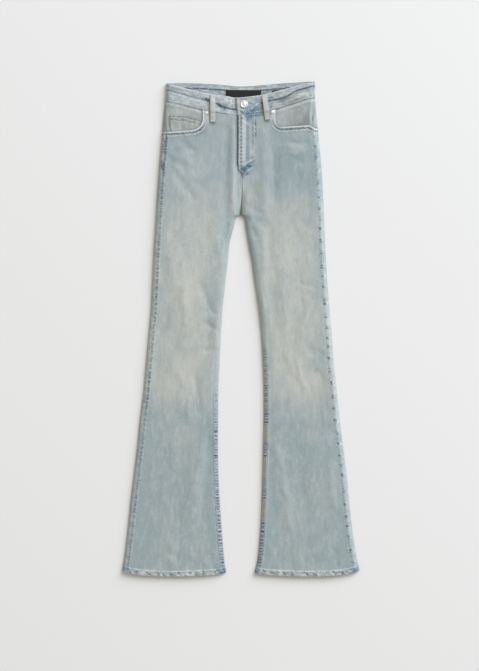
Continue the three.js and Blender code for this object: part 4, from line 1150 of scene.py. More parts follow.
def facing_grid(side, spans, rows):
    """Grid of a pocket facing, from under the front to the side seam."""
    way = OUT[side]
    steps = EDGE_STEPS[::-1]
    share = np.concatenate([np.linspace(0, 1, spans + 1), np.ones(len(steps))])[None, :]
    offset = np.concatenate([-ROUND * np.linspace(0, 1, spans + 1), -steps])[None, :]
    base = np.linspace(FACING_Y, WAIST_Y, rows)[:, None]
    seam = bend_to(lambda x: seam_y(x) - GAP / 2, FACING_Y, WAIST_Y)
    return settle(
        lambda y: mix(way * FACING_X, side_x[side](y), share) + way * offset,
        lambda x: base + seam(base, x),
        base)


def facing_surface(side, x, y, lift=0.0, wall=DENIM):
    drop = FACING_DROP - lift
    outer, inner, shift, from_side, _ = front_form(side, x, y, wall=wall, drop=drop, crotch=False)
    at_band = dome(np.maximum(seam_y(x) - y, 0), 12) * ease((-from_mouth(side)(x, y)[0] - 3) / 8)
    rise = 1.7 * at_band * rounding(from_side)
    return outer + rise + 0.1 * rough(x, y, 12, 51) * (lift == 0), inner + rise, shift


def pocket_facing(side):
    x, y = facing_grid(side, 46, 40)
    measure = from_mouth(side)
    limit = MOUTHS[side]["end"][0] + 2

    def tucked(px, py):
        away, qx, qy, along = measure(px, py)
        past = OUT[side] * px > limit
        return np.where(past, -away - GAP, FACING_TUCK - away), qx, qy, along

    keep = tucked((x[:-1, :-1] + x[1:, 1:]) / 2, (y[:-1, :-1] + y[1:, 1:]) / 2)[0] > 0
    outer, inner, shift = facing_surface(side, x, y)
    piece = shell(f"cloth_facing_{side}", x, y, outer, inner, facing_cloth, shift, keep)

    def dye_and_painted_shade(px, py):
        _, blue, tone = washed_and_painted_shade(px, py)
        pale = 0.3 + 0.25 * rough(px, py, 18, 52) + patches(px, py, FACING_PALE_PATCHES)
        # Painted shadow on the facing beside the pocket mouth's edge
        tone = tone * 0.3 - 0.35 * dome(np.maximum(-measure(px, py)[0], 0), 3)
        tone = tone + patches(px, py, FACING_TONE) + 0.7 * dome(seam_y(px) - 4.6 - py, 2.2)
        return pale, blue * 0.5, tone
    return paint(piece, dye_and_painted_shade)


# Lighter and darker places of the facings: x, y, half width, half height, amount
FACING_PALE_PATCHES = (
    (-118, 1022, 30, 9, 0.5), (-150, 1018, 8, 16, -0.3), (86, 1010, 14, 14, 0.3), (106, 1003, 12, 16, 0.2),
    (128, 1005, 14, 20, -0.35), (146, 1012, 7, 22, -0.3), (110, 1025, 24, 6, 0.15),
)
FACING_TONE = (
    (157.5, 1008, 1.6, 9, 0, -0.7), (140, 1000, 6, 12, 0, -0.25), (126, 991, 12, 5, 0, -0.22),
    (100, 992, 12, 4, 0, -0.12), (155, 1018, 2.5, 28, 0, 0.5), (148, 1010, 4, 26, 0, -0.22),
    (-161, 1014, 2.5, 26, 0, 0.3), (-168, 1010, 2.5, 30, 0, -0.3), (160, 1010, 3, 26, 0, -0.3),
    (-100, 1008, 20, 2, -14, -0.2),
)


def coin_edge(x, y):
    """Distance below the coin pocket's top edge."""
    return -line_distance(x, y, COIN_TOP)[0]


def coin_pocket():
    """The coin pocket, from the right pocket mouth up to its own slanting hem."""
    top = Column(*zip(*COIN_TOP))
    line = mouth_lines["right"]
    u = np.linspace(0, 1, 70)[None, :]
    rows = np.linspace(0, 1, 34)[:, None]
    floor_x, floor_y = zip(*line[-2:0:-1])
    low_x, high_x = COIN_SPAN

    def x_at(y):
        lean = np.clip((y - COIN_FOOT) / COIN_HEIGHT, 0, 1)
        return mix(low_x - 4.2 * lean, high_x + 2.0 * lean, u)

    x, y = settle(
        x_at, lambda x: mix(np.interp(x, floor_x, floor_y) + GAP, top(x), rows), 990.0 + 0 * rows, 3)
    outer, inner, shift = facing_surface("right", x, y, GAP + POCKET, POCKET)
    below = coin_edge(x, y)
    outer = outer - 0.25 * dome(below - 1.6, 0.7) - 0.25 * dome(below - 7.6, 0.7)
    outer = outer + 0.12 * rough(x, y, 8, 53) - 0.5 * dome(np.maximum(below, 0), 0.5)
    piece = shell("cloth_coin_pocket", x, y, outer, inner, hemmed_cloth, shift)

    def dye_and_painted_shade(px, py):
        pale = 0.3 + 0.3 * rough(px, py, 9, 54)
        left = dome(px + 156.5 - 0.06 * (1014 - py), 1.6)
        # Painted shadow beside the pocket mouth's edge
        mouth = dome(from_mouth("right")(px, py)[0] + 0.5, 2.2)
        return pale, 0.3 * dome(px + 157, 3) * dome(py - 1015, 3), -0.45 * left - 0.4 * mouth

    def edge(px, py):
        return np.maximum(coin_edge(px, py), 0), nowhere(px), nowhere(px)

    return paint(piece, dye_and_painted_shade, None, edge)


# Ends of the front waistband: the tab's at the top and bottom, the button end's, and how deep that one lies
TAB = dict(top=-10, bottom=-6.5)
UNDER_END = 13
UNDER_DROP = BAND + GAP + 0.1
HOLE = dict(radius=3, end=18.5, width=0.9)


def band_plan(side, share, v):
    """x and y of the front waistband: a share of the way to the side seam, a share of its width."""
    end = mix(TAB["bottom"], TAB["top"], v) if side == "left" else UNDER_END + 0 * v
    return settle(
        lambda y: mix(end, side_x[side](y), share),
        lambda x: mix(seam_y(x) + GAP / 2, band_top_y(x), v),
        WAIST_Y + 0 * v)


def band_relief(x, y, v):
    """The waistband's rolled top, its long crease, its edges and the wrinkles beside the loops."""
    crease = band_crease(x)
    upper = np.clip((v - crease) / (1 - crease), 0, 1)
    lower = np.clip(v / crease, 0, 1)
    deep = 1 - 0.75 * dome(x - 16, 22)
    rolled = (3.2 * upper * (1 - upper) * (v > crease) + 2.0 * lower * (1 - lower) * (v <= crease)) * deep
    trough = 1.5 * dome(v - crease, 0.07) * deep
    wrinkles = fold_height(x, y, BAND_WRINKLES, 0.3)
    edges = 0.5 * dome(v, 0.05) + 0.9 * dome(1 - v, 0.06)
    return rolled - trough - edges + wrinkles + 0.15 * rough(x, y, 8, 61) + 0.1 * rough(x + y, y * 0.3, 5, 62)


BAND_WRINKLES = (
    (-52, 1044, -47, 1033, 3, -0.9), (-47, 1033, -30, 1029, 3, -0.8), (-40, 1040, -22, 1034, 4, 0.5),
    (40, 1050, 52, 1040, 4, -0.6), (30, 1040, 45, 1030, 4, 0.5), (70, 1050, 90, 1045, 4, 0.4),
    (-90, 1045, -70, 1040, 4, -0.4), (66, 1040, 62, 1030, 3, -0.8), (-120, 1062, -95, 1055, 4, 0.4),
    (100, 1062, 130, 1068, 4, 0.5), (20, 1050, 34, 1046, 4, -0.5), (12, 1025, 40, 1024, 4, -0.4),
)


def band_surface(side, x, y, v):
    outer, inner, shift, from_side, _ = front_form(
        side, x, y, wall=BAND, proud=BAND_PROUD, level=BAND_LEVEL, crotch=False, creases=False)
    rounded = rounding(from_side)
    drop = UNDER_DROP * ease((x + 32) / 19) if side == "right" else 0.0
    outer = outer + band_relief(x, y, v) * rounded - drop
    return outer, inner - 0.5 * dome(v - band_crease(x), 0.1) * rounded - drop, shift


def keyhole_angles(count):
    slit = math.asin(HOLE["width"] / 2 / HOLE["radius"])
    return np.linspace(slit, 2 * math.pi - slit, count)


def keyhole(x, y):
    """Distance from the buttonhole's edge, positive on the cloth."""
    angles = keyhole_angles(19)
    round_part = zip(BUTTON[0] + HOLE["radius"] * np.cos(angles), BUTTON[1] + HOLE["radius"] * np.sin(angles))
    ends = [(HOLE["end"], BUTTON[1] + way * HOLE["width"] / 2) for way in (1, -1)]
    away, qx, qy, along = line_distance(x, y, closed([ends[0], *round_part, ends[1]]))
    return -away, qx, qy, along


def band_v(x, y):
    """Share of the way up the front waistband."""
    return (y - seam_y(x)) / (band_top_y(x) - seam_y(x))


def front_band(side):
    span = abs(side_x[side](WAIST_Y) - (TAB["bottom"] if side == "left" else UNDER_END))
    count = int(span / 1.25)
    share = np.concatenate([np.linspace(0, 1 - ROUND / span, count), 1 - EDGE_STEPS[::-1] / span])
    v = np.concatenate([[0, 0.012, 0.03], np.linspace(0.06, 0.94, 32), [0.965, 0.985, 1]])
    x, y = band_plan(side, share[None, :], v[:, None])
    keep = cut(x, y, keyhole) if side == "left" else None
    rows = band_v(x, y)
    outer, inner, shift = band_surface(side, x, y, rows)
    piece = shell(f"cloth_waistband_front_{side}", x, y, outer, inner, band_cloth, shift, keep)

    def dye_and_painted_shade(px, py):
        _, blue, tone = washed_and_painted_shade(px, py)
        left = ease((-30 - px) / 25)
        right = ease((px - 60) / 30)
        shade = 1.4 * patches(px, py, BAND_TONE) + 0.24 * left - 0.1 * right
        return 0.5 + 0.3 * rough(px, py, 14, 63), blue + 0.1 * left, tone + shade

    def seams(px, py):
        top, bottom = band_top_y(px), seam_y(px)
        deep = 1 - 0.8 * dome(px - 16, 22)
        crease = py - mix(bottom, top, band_crease(px))
        return top - py, py - bottom, crease + 30 * (1 - deep) ** 2
    return paint(piece, dye_and_painted_shade, seams)


# Lighter and darker places of the waistband: x, y, half width, half height, turn, amount
# Some dark places are painted shadow: beside the tab's edge and left of the belt loops
BAND_TONE = (
    (-130, 1060, 24, 4, -14, 0.35), (-96, 1052, 16, 4, -12, 0.3), (-150, 1052, 10, 4, -12, 0.2),
    (-58, 1052, 3, 8, 0, -0.45), (-72, 1049, 7, 3, -12, -0.5), (-46, 1038, 5, 2.5, -35, -0.4),
    (-36, 1030, 3, 5, 0, -0.35), (-162, 1050, 3, 14, 0, -0.25), (-120, 1067, 26, 1.6, -13, -0.25),
    (96, 1056, 18, 1.6, 18, -0.4), (112, 1030, 14, 3, 18, -0.3), (128, 1042, 12, 2.4, 18, -0.35),
    (-86, 1029, 10, 2, -12, -0.35), (-110, 1035, 12, 2, -14, -0.25), (-48, 1036, 3, 6, 30, -0.35),
    (-40, 1031, 7, 1.6, -25, -0.35), (-22, 1044, 12, 5, -10, 0.2), (-50, 1045, 6, 3, 0, 0.25),
    (-11.5, 1035, 2, 20, 2, -0.45), (-4, 1036, 2.4, 18, 2, 0.5), (4, 1051, 12, 2, 4, -0.25),
    (-6, 1051, 3, 2, 0, -0.4), (30, 1026, 14, 3, 20, -0.3), (38, 1040, 10, 3, 35, 0.4),
    (22, 1030, 8, 3, 35, 0.3), (46, 1048, 5, 4, 30, -0.3), (30, 1052, 12, 2, 5, 0.3),
    (48, 1034, 3, 12, 5, -0.35), (95, 1048, 20, 3, 18, -0.35), (110, 1040, 14, 4, 20, -0.3),
    (84, 1040, 12, 3, 16, 0.3), (130, 1058, 16, 4, 16, 0.3), (138, 1078, 14, 2.4, 12, 0.3),
    (100, 1062, 20, 3, 16, 0.25), (122, 1050, 10, 4, 18, -0.3), (148, 1060, 8, 5, 10, 0.3),
    (66, 1028, 5, 4, 0, 0.25),
)


# Back loops' x, every loop's width and the thickness of a loop let into the back
BACK_LOOPS = {"right": -84, "centre": 4, "left": 94}
LOOP_WIDTH = 11.5
FLAT_LOOP = 1.0


def back_band():
    u = np.linspace(0, 1, 190)[None, :]
    v = np.concatenate([[0, 0.03], np.linspace(0.07, 0.93, 20), [0.97, 1]])[:, None]
    x, y = settle(
        lambda y: mix(side_x["right"](y), side_x["left"](y), u),
        lambda x: mix(back_seam_y(x) + GAP / 2, back_top_y(x), v),
        WAIST_Y + 0 * v)
    near = np.minimum(x - side_x["right"](y), side_x["left"](y) - x)
    bottom = BACK_LIFT + 0.12 * rough(x, y, 11, 71) + 0.4 * (1 - rounding(near, 1.6))
    bottom = bottom + 0.15 * dome(v - 0.06, 0.02) + 0.15 * dome(v - 0.94, 0.02) + 0.3 * dome(1 - v, 0.03)
    for centre in BACK_LOOPS.values():
        away = np.maximum(np.abs(x - centre) - LOOP_WIDTH / 2, np.abs(v - 0.5) * 39 - 18.5)
        bottom = mix(bottom, FLAT_LOOP + GAP, 1 - ease((away - 0.6) / 1.6))
    top = BAND - 0.3 + 0.3 * rough(x, y, 13, 72) * (v > 0.3) - 0.4 * dome(1 - v, 0.04)
    top = top - 0.4 * dome(v - 0.72, 0.05) * (0.6 + 0.4 * rough(x, 0, 40, 73))
    top = np.minimum(top, BAND)
    piece = shell("cloth_waistband_back", x, y, bottom, top, band_cloth)

    def dye_and_painted_shade(px, py):
        blue = patches(px, py, BACK_BLUE) * (0.75 + 0.5 * rough(px, py, 4, 74))
        rim = dome(back_top_y(px) - py - 0.4, 1.7) * (0.8 + 0.3 * rough(px, 0, 9, 76))
        return 0.3 + 0.25 * rough(px, py, 15, 75), np.clip(blue, 0, 1), -0.6 * rim

    def seams(px, py):
        low, high = back_seam_y(px), back_top_y(px)
        return nowhere(px), py - low, py - mix(low, high, 0.72)
    return paint(piece, dye_and_painted_shade, seams)


# Front loops, from foot to head
FRONT_LOOPS = {"right": ((-62, 999.5), (-62, 1059.5)), "left": ((58.5, 1004.5), (51.7, 1059))}
LOOP_CLOTH = 1.8
LOOP_ARCH = 3.2


def cloth_top(side, x, y):
    """Level of the plain front, or of the waistband above its seam."""
    on_band = y > seam_y(x) - LOOP_CLOTH
    panel = front_form(side, x, y, crotch=False, creases=False)[0]
    band = front_form(side, x, y, proud=BAND_PROUD, level=BAND_LEVEL, crotch=False, creases=False)[0]
    return np.where(on_band, band, panel)


def loop_height(side, u):
    """Underside of a front loop: sewn down at both ends and standing clear between them."""
    (x0, y0), (x1, y1) = FRONT_LOOPS[side]
    x, y = mix(x0, x1, u), mix(y0, y1, u)
    ground = ease((u - 0.2) / 0.1)
    level = mix(cloth_top(side, x, np.minimum(y, seam_y(x) - 3)), cloth_top(side, x, y), ground)
    return x, y, level + GAP + LOOP_ARCH * ease(u / 0.45) * ease((1 - u) / 0.3)


def front_loop(side):
    (x0, y0), (x1, y1) = FRONT_LOOPS[side]
    u = np.linspace(0, 1, 60)[:, None]
    d = np.concatenate([[-1, -0.97, -0.9, -0.8], np.linspace(-0.68, 0.68, 11), [0.8, 0.9, 0.97, 1]])[None, :]
    cx, cy, low = loop_height(side, u)
    long = math.hypot(x1 - x0, y1 - y0)
    across = d * LOOP_WIDTH / 2
    x = cx + across * (y1 - y0) / long
    y = cy - across * (x1 - x0) / long
    crown = 0.35 * (1 - d**2) - 0.5 * (1 - rounding(1 - np.abs(d), 0.22))
    seams = -0.22 * (dome(np.abs(d) - 0.62, 0.08))
    ends = -0.5 * (1 - rounding(np.minimum(u, 1 - u) * long, 1.6))
    tacks = 0.25 * (dome(u * long - 3, 2) + dome((1 - u) * long - 3, 2))
    outer = low + LOOP_CLOTH + crown + seams + ends + tacks + 0.12 * rough(x, y, 5, 81)
    inner = low + 0 * d + 0.3 * (1 - rounding(1 - np.abs(d), 0.2))
    piece = shell(f"cloth_loop_front_{side}", x, y, outer, inner, cloth)

    def dye_and_painted_shade(px, py):
        u = (py - y0) / (y1 - y0)
        away = np.abs((px - mix(x0, x1, u)) * (y1 - y0) / long)
        # The rim darkens the loop's outline and ends: painted shade
        rim = np.maximum(dome(away - LOOP_WIDTH / 2, 0.9), dome(np.minimum(u, 1 - u) * long, 1.5))
        rows = dome(away - 3.5, 0.9) * (0.5 + 0.5 * rough(py, 0, 3, 84))
        tone = 0.16 + 0.25 * rough(px, py, 7, 83) - 0.3 * rim - 0.16 * rows - 0.25 * dome(u * long - 4, 2.2)
        return 0.95 + 0.2 * rough(px, py, 9, 82), 0 * px, tone
    return paint(piece, dye_and_painted_shade)


def back_loop(name, centre):
    u = np.linspace(-1, 1, 15)[None, :]
    v = np.linspace(0, 1, 30)[:, None]
    x = centre + u * LOOP_WIDTH / 2 + 0 * v
    y = mix(back_seam_y(x) + 1.5, back_top_y(x) - 1.5, v)
    edge = rounding(np.minimum((1 - np.abs(u)) * LOOP_WIDTH / 2, np.minimum(v, 1 - v) * 36), 1.2)
    bottom = 0.1 + 0.3 * (1 - edge) + 0.15 * dome(np.abs(u) - 0.62, 0.1)
    piece = shell(f"cloth_loop_back_{name}", x, y, bottom, np.full(x.shape, FLAT_LOOP), cloth)
    return paint(piece, lambda px, py: (0.6 + 0 * px, 0 * px, 0 * px))


# Labels: x, y, width, height, tilt
LABELS = {"main": (5.7, 1058, 77.5, 27, -0.5), "side": (82, 1060.5, 25, 22, 6)}


def label(name, x, y, width, height, tilt):
    """A bare woven label, its edges folded under."""
    u = np.concatenate([[-1, -0.985], np.linspace(-0.95, 0.95, 40), [0.985, 1]])[None, :]
    v = np.concatenate([[-1, -0.96], np.linspace(-0.9, 0.9, 16), [0.96, 1]])[:, None]
    px, py = turned(u * width / 2, v * height / 2, tilt)
    gx, gy = x + px, y + py
    edge = np.minimum((1 - np.abs(u)) * width / 2, (1 - np.abs(v)) * height / 2)
    low = BAND + GAP
    outer = low + 0.95 - 0.45 * (1 - rounding(edge, 1.2)) + 0.1 * rough(gx, gy, 12, 91)
    outer = outer - 0.1 * dome(edge - 1.8, 0.5)
    return shell(f"cloth_label_{name}", gx, gy, outer, np.full(gx.shape, low), label_cloth)


def lathe(name, profile, x, y, segments, material):
    """A turned solid, its first and last profile points on the axis."""
    rings = np.array(profile[1:-1], float)
    angles = np.linspace(0, 2 * math.pi, segments, endpoint=False)
    points = [(x, y, profile[0][1])]
    for radius, height in rings:
        points += [(x + radius * math.cos(a), y + radius * math.sin(a), height) for a in angles]
    points.append((x, y, profile[-1][1]))
    faces = []
    for k in range(segments):
        n = (k + 1) % segments
        faces.append((0, 1 + n, 1 + k))
        for ring in range(len(rings) - 1):
            a, b = 1 + ring * segments, 1 + (ring + 1) * segments
            faces.append((a + k, a + n, b + n, b + k))
        last = 1 + (len(rings) - 1) * segments
        faces.append((last + k, last + n, len(points) - 1))
    return body(name, points, faces, material, smooth_angle=35)


BUTTON_RADIUS = 8.2


def button_piece():
    """The shank button, a ring round a low dome, through the buttonhole."""
    cap = float(top_height(BUTTON[1])) + BAND_PROUD + GAP
    foot = cap - UNDER_DROP
    r = BUTTON_RADIUS
    profile = [
        (0, foot), (2.2, foot), (2.4, foot + 0.2), (2.4, cap), (r - 0.9, cap), (r - 0.3, cap + 0.2),
        (r, cap + 0.7),
        (r, cap + 1.2), (r - 0.2, cap + 1.7), (r - 0.7, cap + 2.1), (r - 1.4, cap + 2.2), (r - 2, cap + 2.05),
        (r - 2.5, cap + 1.7), (r - 2.9, cap + 1.62), (r - 3.6, cap + 1.7), (r * 0.4, cap + 2.25),
        (r * 0.22, cap + 2.5),
        (r * 0.08, cap + 2.6), (0, cap + 2.6),
    ]
    return lathe("metal_button", profile, *BUTTON, 72, silver)


RIVETS = {"right": (-75.5, 1020.4), "left": (69.5, 1022.2)}


def rivet_piece(side):
    x, y = RIVETS[side]
    low = float(cloth_top(side, np.array(x), np.array(y))) + GAP
    profile = [
        (0, low), (3.6, low), (3.9, low + 0.2), (4, low + 0.5), (3.8, low + 0.85), (3.3, low + 1.05),
        (2.7, low + 1.05), (2.2, low + 1.0), (1.8, low + 1.15), (1.3, low + 1.5), (0.8, low + 1.66),
        (0, low + 1.7),
    ]
    return lathe(f"metal_rivet_{side}", profile, x, y, 48, silver)


def block(x0, x1, y0, y1, z0, z1):
    points = [(x, y, z) for z in (z0, z1) for y in (y0, y1) for x in (x0, x1)]
    faces = [(0, 2, 3, 1), (4, 5, 7, 6), (0, 1, 5, 4), (2, 6, 7, 3), (0, 4, 6, 2), (1, 3, 7, 5)]
    return points, faces


def joined(name, parts, material, smooth_angle=30):
    points, faces = [], []
    for part_points, part_faces in parts:
        faces += [[n + len(points) for n in face] for face in part_faces]
        points += part_points
    return body(name, points, faces, material, smooth_angle)


# The zip: ends of its tape, middle and half width of its chain, level, and the pitch and count of its teeth
ZIP = dict(y=(903, 1009), middle=9, half=2.6, low=7.4, pitch=1.5, count=62)


def zip_pieces():
    """The closed zip under the fly: tape, teeth, slider and pull."""
    low, middle = ZIP["low"], ZIP["middle"]
    tapes = [block(x0, x1, *ZIP["y"], low, low + 1) for x0, x1 in ((-0.6, middle - 0.6), (middle + 0.6, 24))]
    parts = []
    for n in range(ZIP["count"]):
        y = ZIP["y"][0] + 3 + n * ZIP["pitch"]
        left, right = (ZIP["half"], 0) if n % 2 else (0, ZIP["half"])
        parts.append(block(middle - left - 0.4, middle + right + 0.4, y, y + 1.2, low + 0.2, low + 2))
    parts.append(block(middle - 5, middle + 5, 985, 999, low - 0.7, low + 2.3))
    parts.append(block(middle - 2.8, middle + 2.8, 958, 990, low + 2.1, low + 2.7))
    return joined("zip_tape", tapes, tape_cloth), joined("zip_teeth", parts, zip_metal)


# One stitch: rings of points along it, thick in the middle and sunk at its ends
STITCH_RINGS = ((-0.5, 0.35, -0.25), (-0.3, 0.9, 0.0), (0.3, 0.9, 0.0), (0.5, 0.35, -0.25))
STITCH_SIDES = 5


def points_along(path):
    """A path's length, and a function for the points at distances along it."""
    path = np.asarray(path, float)
    lengths = np.concatenate([[0], np.cumsum(np.linalg.norm(np.diff(path, axis=0), axis=1))])
    return lengths[-1], lambda s: np.stack([np.interp(s, lengths, column) for column in path.T], -1)


def stitches(name, runs, length=2.7, gap=0.9, radius=0.36, material=thread):
    """Rows of separate stitches along paths of x, y, z points, joined into one piece."""
    centres, ways = [], []
    for path in runs:
        total, at = points_along(path)
        count = max(int(total / (length + gap)), 1)
        middle = (np.arange(count) + 0.5) * total / count
        centres.append(at(middle))
        ways.append(at(middle + length / 2) - at(middle - length / 2))
    centre, way = np.concatenate(centres), np.concatenate(ways)
    way = way / np.linalg.norm(way, axis=1, keepdims=True)
    aside = np.stack([-way[:, 1], way[:, 0], np.zeros(len(way))], -1)
    aside /= np.linalg.norm(aside, axis=1, keepdims=True)
    up = np.cross(way, aside)
    centre = centre + aside * rough(centre[:, 0] * 3, centre[:, 1] * 3, 1.0, 95)[:, None] * 0.12
    corners = [2 * math.pi * k / STITCH_SIDES for k in range(STITCH_SIDES)]
    points = np.stack([
        centre + way * along * length + aside * math.cos(angle) * radius * thick
        + up * (math.sin(angle) * radius * 0.8 * thick + sink)
        for along, thick, sink in STITCH_RINGS for angle in corners
    ], 1)
    per = points.shape[1]
    faces = []
    for low in range(0, per - STITCH_SIDES, STITCH_SIDES):
        for k in range(STITCH_SIDES):
            n = (k + 1) % STITCH_SIDES
            faces.append((low + k, low + n, low + STITCH_SIDES + n, low + STITCH_SIDES + k))
    ends = [tuple(range(STITCH_SIDES))[::-1], tuple(range(per - STITCH_SIDES, per))]
    starts = range(0, per * len(points), per)
    faces = [[i + start for i in face] for start in starts for face in [*faces, *ends]]
    return body(name, points.reshape(-1, 3), faces, material, 60)


# How far a stitch lies above the cloth
LIFT = 0.12


def on_front(side, x, y, base=None):
    """Points of a path on a front panel's surface."""
    x, y = np.broadcast_arrays(np.asarray(x, float), np.asarray(y, float))
    outer = front_surface(side, x, y, y if base is None else base)[0]
    return np.stack([x, y, outer + LIFT], -1)


def on_band(side, x, v):
    y = mix(seam_y(x) + GAP / 2, band_top_y(x), v)
    return np.stack([x, y, band_surface(side, x, y, np.full(x.shape, float(v)))[0] + LIFT], -1)


def zigzag(x, y, z, long, turn, width=2.4, step=0.55):
    """A bartack: a close zigzag centred on a point."""
    count = int(long / step)
    along = (np.arange(count) - (count - 1) / 2) * step
    px, py = turned(along, np.where(np.arange(count) % 2, 0.5, -0.5) * width, turn)
    return np.stack([x + px, y + py, z + 0 * px], -1)


def offset_line(line, distance):
    """A line moved sideways, to its left."""
    line = np.asarray(line, float)
    way = np.gradient(line, axis=0)
    way /= np.linalg.norm(way, axis=1, keepdims=True)
    return line + distance * np.stack([-way[:, 1], way[:, 0]], -1)


def dense(line, step=2.0):
    """Points close together along a line of corners."""
    total, at = points_along(line)
    return at(np.linspace(0, total, max(int(total / step), 2)))


def front_stitching(side):
    """Rows on a front panel: hem, pocket mouth and fly, and duller ones on the inseam, shield and rise."""
    way = OUT[side]
    runs, dull = [], []
    share = np.linspace(0.01, 0.99, 90)
    base = np.full(90, 11.3)
    x, y = plan(side, share, 0 * share, base, front_bend)
    runs.append(on_front(side, x, y, base))
    ys = np.linspace(22, 402, 180)
    for inset in (3.2, 9.6):
        dull.append(on_front(side, inner_x(side, ys) + way * inset, ys))
    mouth = dense(mouth_lines[side][1:-1], 1.5)
    mouth = mouth[mouth[:, 1] < seam_y(mouth[:, 0]) - 2]
    for inset in (2.6, 9.6):
        row = offset_line(mouth, -way * inset)
        if inset > 3:
            row = row[row[:, 1] < 990]
        row = row[(way * (side_x[side](row[:, 1]) - row[:, 0]) > 3) & (row[:, 1] < seam_y(row[:, 0]) - 2)]
        runs.append(on_front(side, row[:, 0], row[:, 1]))
    if side == "left":
        fly = dense(FLY_LINE, 1.5)
        fly = fly[fly[:, 1] < seam_y(fly[:, 0]) - 2]
        for inset in (0.0, 5.0):
            row = offset_line(fly, -inset)
            row = row[row[:, 0] > inner_x(side, row[:, 1]) + 1]
            dull.append(on_front(side, row[:, 0], row[:, 1]))
        ys = np.linspace(902, 1010, 50)
        runs.append(on_front(side, inner_x(side, ys) + 2.2, ys))
        ys = np.linspace(806, 884, 40)
        for inset in (1.8, 5.6):
            dull.append(on_front(side, inner_x(side, ys) + inset, ys))
    stitches(f"stitching_inseam_{side}", dull, length=2.5, gap=1.4, radius=0.33, material=faded_thread)
    stitches(f"stitching_front_{side}", runs)


def tack_on(side, x, y, long, turn):
    z = float(front_surface(side, np.array([x]), np.array([y]), np.array([y]))[0][0]) + 0.2
    return zigzag(x, y, z, long, turn)


def bartacks():
    runs = [
        tack_on("left", 9, 905.5, 9, 35), tack_on("left", 29, 928, 8, 75), tack_on("left", 4, 916, 7, 90),
        tack_on("right", -158, 984, 8, 90), tack_on("left", 158, 984, 8, 90),
    ]
    for side in OUT:
        for u in (0.05, 0.95):
            x, y, low = loop_height(side, np.array(u))
            runs.append(zigzag(float(x), float(y), float(low) + LOOP_CLOTH + 0.45, LOOP_WIDTH - 2, 0))
    stitches("stitching_bartacks", runs, length=2.2, gap=0.05, radius=0.3)


def band_stitching():
    runs = []
    for side, low, high in (("left", -5.5, 158), ("right", -160, 11)):
        x = np.linspace(low, high, 110)
        for v in (0.06, 0.945):
            runs.append(on_band(side, x, v))
    v = np.linspace(0.08, 0.92, 20)
    x = mix(TAB["bottom"], TAB["top"], v) + 2.2
    y = mix(seam_y(x), band_top_y(x), v)
    runs.append(np.stack([x, y, band_surface("left", x, y, v)[0] + LIFT], -1))
    x = np.linspace(-158, 158, 200)
    y = mix(back_seam_y(x), back_top_y(x), 0.94)
    runs.append(np.stack([x, y, np.full(x.shape, BAND - 0.15)], -1))
    stitches("stitching_waistband", runs)


def buttonhole_stitching():
    """Close stitches round the keyhole, each across its edge."""
    runs = []
    ways = [(BUTTON[0], math.cos(angle), math.sin(angle), HOLE["radius"]) for angle in keyhole_angles(30)]
    for x in np.arange(BUTTON[0] + 3.2, HOLE["end"] + 0.4, 0.55):
        ways += [(x, 0, up, HOLE["width"] / 2) for up in (-1, 1)]
    for x, dx, dy, start in ways:
        reach = start + np.array([0.1, 2.1])
        px, py = x + dx * reach, BUTTON[1] + dy * reach
        runs.append(np.stack([px, py, band_surface("left", px, py, band_v(px, py))[0] + 0.1], -1))
    stitches("stitching_buttonhole", runs, length=1.9, gap=0.05, radius=0.24)


def loop_stitching():
    runs = []
    for side in OUT:
        (x0, y0), (x1, y1) = FRONT_LOOPS[side]
        long = math.hypot(x1 - x0, y1 - y0)
        u = np.linspace(0.08, 0.92, 30)
        cx, cy, low = loop_height(side, u)
        for across in (-0.62, 0.62):
            d = across * LOOP_WIDTH / 2
            x, y = cx + d * (y1 - y0) / long, cy - d * (x1 - x0) / long
            runs.append(np.stack([x, y, low + LOOP_CLOTH + 0.2], -1))
    stitches("stitching_loops", runs, length=2.4, radius=0.32)


def coin_stitching():
    top = Column(*zip(*COIN_TOP))
    x = np.linspace(-155, -90, 40)
    runs = []
    for down in (1.8, 7.4):
        y = top(x) - down
        z = facing_surface("right", x, y, GAP + POCKET, POCKET)[0]
        runs.append(np.stack([x, y, z], -1))
    stitches("stitching_coin_pocket", runs, length=2.4, radius=0.3)


# Level of the stitching on the underside
UNDER_Z = 0.28


def under(points):
    points = np.asarray(points, float)
    return np.concatenate([points, np.full((len(points), 1), UNDER_Z)], axis=1)


def back_stitching(side):
    """Rows seen from below: hem, centre seam, yoke, waistband and pocket."""
    way = OUT[side]
    runs = []
    share = np.linspace(0.01, 0.99, 80)
    base = np.full(80, 11.3)
    x, y = plan(side, share, 0 * share, base, lambda b, x, across: hem_bend(b, across), "back")
    runs.append(under(np.stack([x, y], -1)))
    ys = np.linspace(820, 955, 60)
    for inset in (2, 7.5):
        runs.append(under(np.stack([inner_x(side, ys, "back") + way * inset, ys], -1)))
    xs = way * np.linspace(4, 166, 70)
    for rise in (2.5, 8):
        runs.append(under(np.stack([xs, yoke_y(xs) + rise], -1)))
    waist = way * np.linspace(4, 157, 66)
    for rise in (2.5, 36.5):
        runs.append(under(np.stack([waist, back_seam_y(waist) + rise], -1)))
    for inset in (2, 7.5):
        runs.append(under(dense(closed(pocket_outline(side, -inset)))))
    stitches(f"stitching_back_{side}", runs)


def stand_for(piece, node):
    """Hides the solid that a piece stands in for."""
    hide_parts(node)


